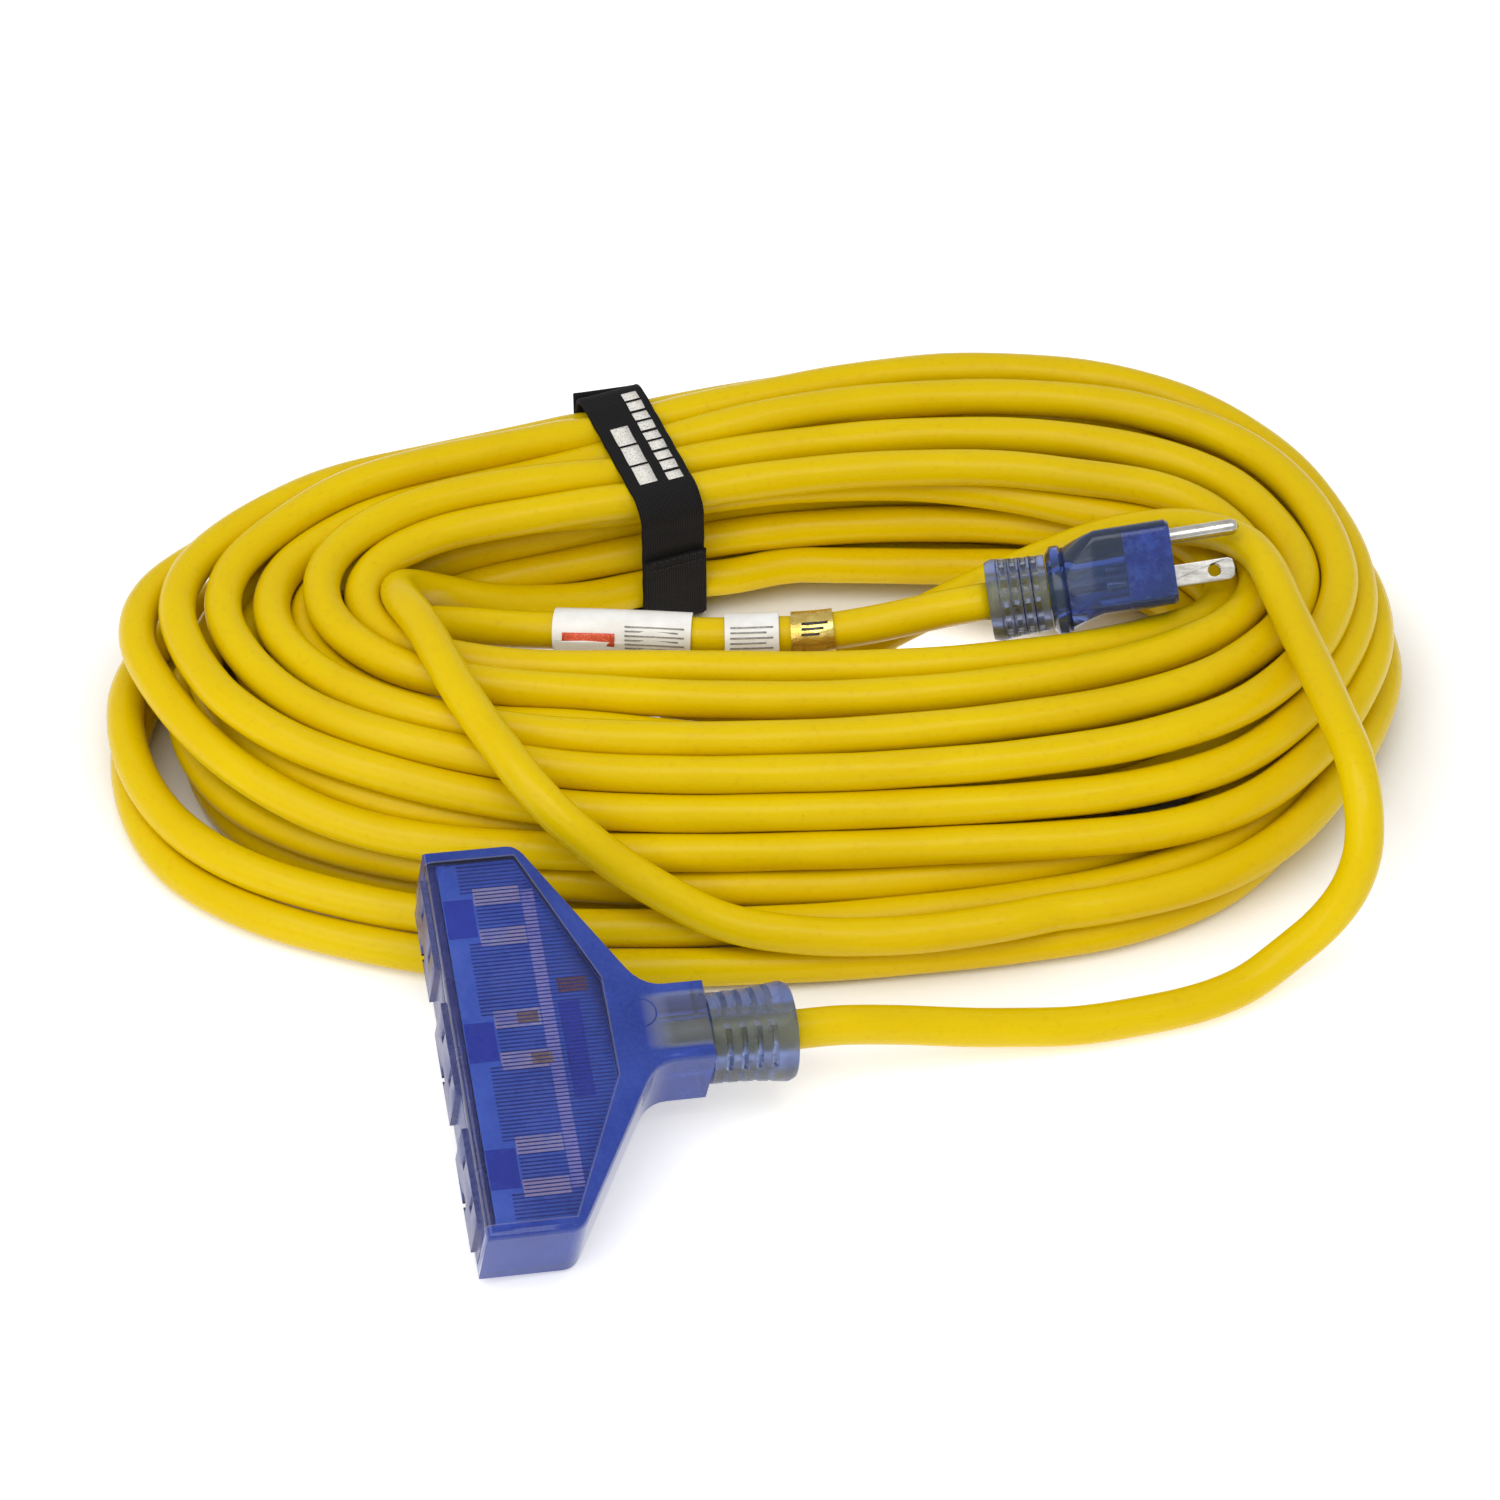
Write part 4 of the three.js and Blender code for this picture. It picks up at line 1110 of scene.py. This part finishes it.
def line_detail(name, path, radius, material, sides=8):
    """A thin line of blue plastic as a small tube; in the plug's grooves it is painted shade."""
    line, _ = even_line(np.array([tuple(p) for p in path]), max(radius, 0.0003))
    carry(round_tube(name, line, radius, sides, material), CORD_SET, "translucent_blue")


WINDOW = [(0.0060, INSERT_HALF), (INSERT_STRAIGHT, INSERT_HALF), (INSERT_REAR, INSERT_REAR_HALF),
          (INSERT_REAR, -INSERT_REAR_HALF), (INSERT_STRAIGHT, -INSERT_HALF), (0.0060, -INSERT_HALF)]


def window_edge():
    """The insert's edge, seen through the moulding as a thin dark line."""
    corners = [Vector((x + 0.00018, y * 1.0032, CARRIER_TOP + 0.0002)) for x, y in WINDOW]
    dense = []
    for first, second in zip(corners, corners[1:]):
        dense += [first.lerp(second, k / 12) for k in range(12)]
    return [BLOCK @ p for p in dense + [corners[-1]]]


line_detail("socket_window_edge", window_edge(), 0.00014, EDGE_LINE, sides=6)

GATE_X, GATE_Y, GATE_Z = 0.052, 0.003, 0.028


def gate_ring(radius):
    """The mark of the mould's gate on top of the block."""
    angles = np.linspace(0, 2 * np.pi, 41)
    return [BLOCK @ Vector((GATE_X + radius * math.cos(a), GATE_Y + radius * math.sin(a), GATE_Z))
            for a in angles]


line_detail("socket_gate_mark", gate_ring(0.0042), 0.0002, RIB_LINE, sides=10)

# ---------- plug's details

# Dark rings of painted shade in the grooves of the plug's strain relief and at its collar.
RELIEF_GROOVES = [-0.0516, -0.0483, -0.0450, -0.0417]
for order, x in enumerate(RELIEF_GROOVES):
    line_detail(f"plug_relief_groove_shade_{order}", ring_path(PLUG, x, 0.01135), 0.00022, EDGE_LINE)
line_detail("plug_collar_groove_shade", ring_path(PLUG, -0.0318, 0.01222), 0.0003, EDGE_LINE)

# ---------- label details

LABEL_RADIUS = CORD_RADIUS + 0.0013
INK_LIFT = 0.00012
plug_stretch = ring_line[-70:][::-1]


def on_label(x, angle):
    """Point just over a label's sleeve: angle 0 faces the front, 90 degrees faces up."""
    order = np.argsort(plug_stretch[:, 0])
    y, z = (np.interp(x, plug_stretch[order, 0], plug_stretch[order, k]) for k in (1, 2))
    r = LABEL_RADIUS + INK_LIFT
    a = math.radians(angle)
    return x, y - r * math.cos(a), z + r * math.sin(a)


def label_bars(name, bars, material):
    """Thin patches on a label's sleeve: (from, to along the cord, from, to round it)."""
    vertices, faces = [], []
    for x0, x1, a0, a1 in bars:
        start = len(vertices)
        for angle in np.linspace(a0, a1, 6):
            vertices += [on_label(x - CENTRE[0], angle) for x in np.linspace(x0, x1, 5)]
        faces += [tuple(start + v for v in face) for face in grid_faces(6, 5)]
    ink_patches(name, vertices, faces, material, "label_paper")


FLAG_BARS = [(-0.0375, -0.0200 - 0.0018 * (k % 2), 56 - 11 * k, 60 - 11 * k) for k in range(6)]
FLAG_PANEL = [(-0.0560, -0.0405, 6, 40)]
WRAP_BARS = [(-0.0064, 0.0062 - 0.0020 * (k % 2), 62 - 13 * k, 66 - 13 * k) for k in range(5)]
FOIL_BARS = [(0.0145, 0.0222 - 0.0012 * k, 66 - 14 * k, 72 - 14 * k) for k in range(3)]
label_bars("label_flag_bars", FLAG_BARS, GREY_INK)
label_bars("label_flag_panel", FLAG_PANEL, RED_INK)
label_bars("label_wrap_bars", WRAP_BARS, GREY_INK)
label_bars("label_foil_bars", FOIL_BARS, BLACK_WIRE)

# ---------- floor and light

def add_floor():
    """A wide white sheet under the object."""
    half = 3.0
    corners = [(-half, -half, 0), (half, -half, 0), (half, half, 0), (-half, half, 0)]
    floor = piece_from("floor", corners, [(0, 1, 2, 3)], FLOOR, smooth=False)
    floor.location.z = -0.0002


def add_softbox(name, place, size, power):
    """A soft light that looks at the middle of the object."""
    data = bpy.data.lights.new(name, "AREA")
    data.shape = "RECTANGLE"
    data.size, data.size_y = size
    data.energy = power
    light = bpy.data.objects.new(name, data)
    light.location = place
    light.rotation_euler = (-Vector(place)).to_track_quat("-Z", "Y").to_euler()
    bpy.context.scene.collection.objects.link(light)


def add_lights():
    world = bpy.data.worlds.new("studio")
    world.use_nodes = True
    background = world.node_tree.nodes["Background"]
    background.inputs["Color"].default_value = (1, 1, 1, 1)
    background.inputs["Strength"].default_value = 0.62
    bpy.context.scene.world = world
    add_softbox("overhead", (-0.15, -0.38, 1.3), (1.3, 0.7), 8)
    add_softbox("front_fill", (-0.7, -1.0, 0.9), (0.9, 0.9), 4)


add_floor()
add_lights()
bpy.context.scene.view_settings.view_transform = "Standard"
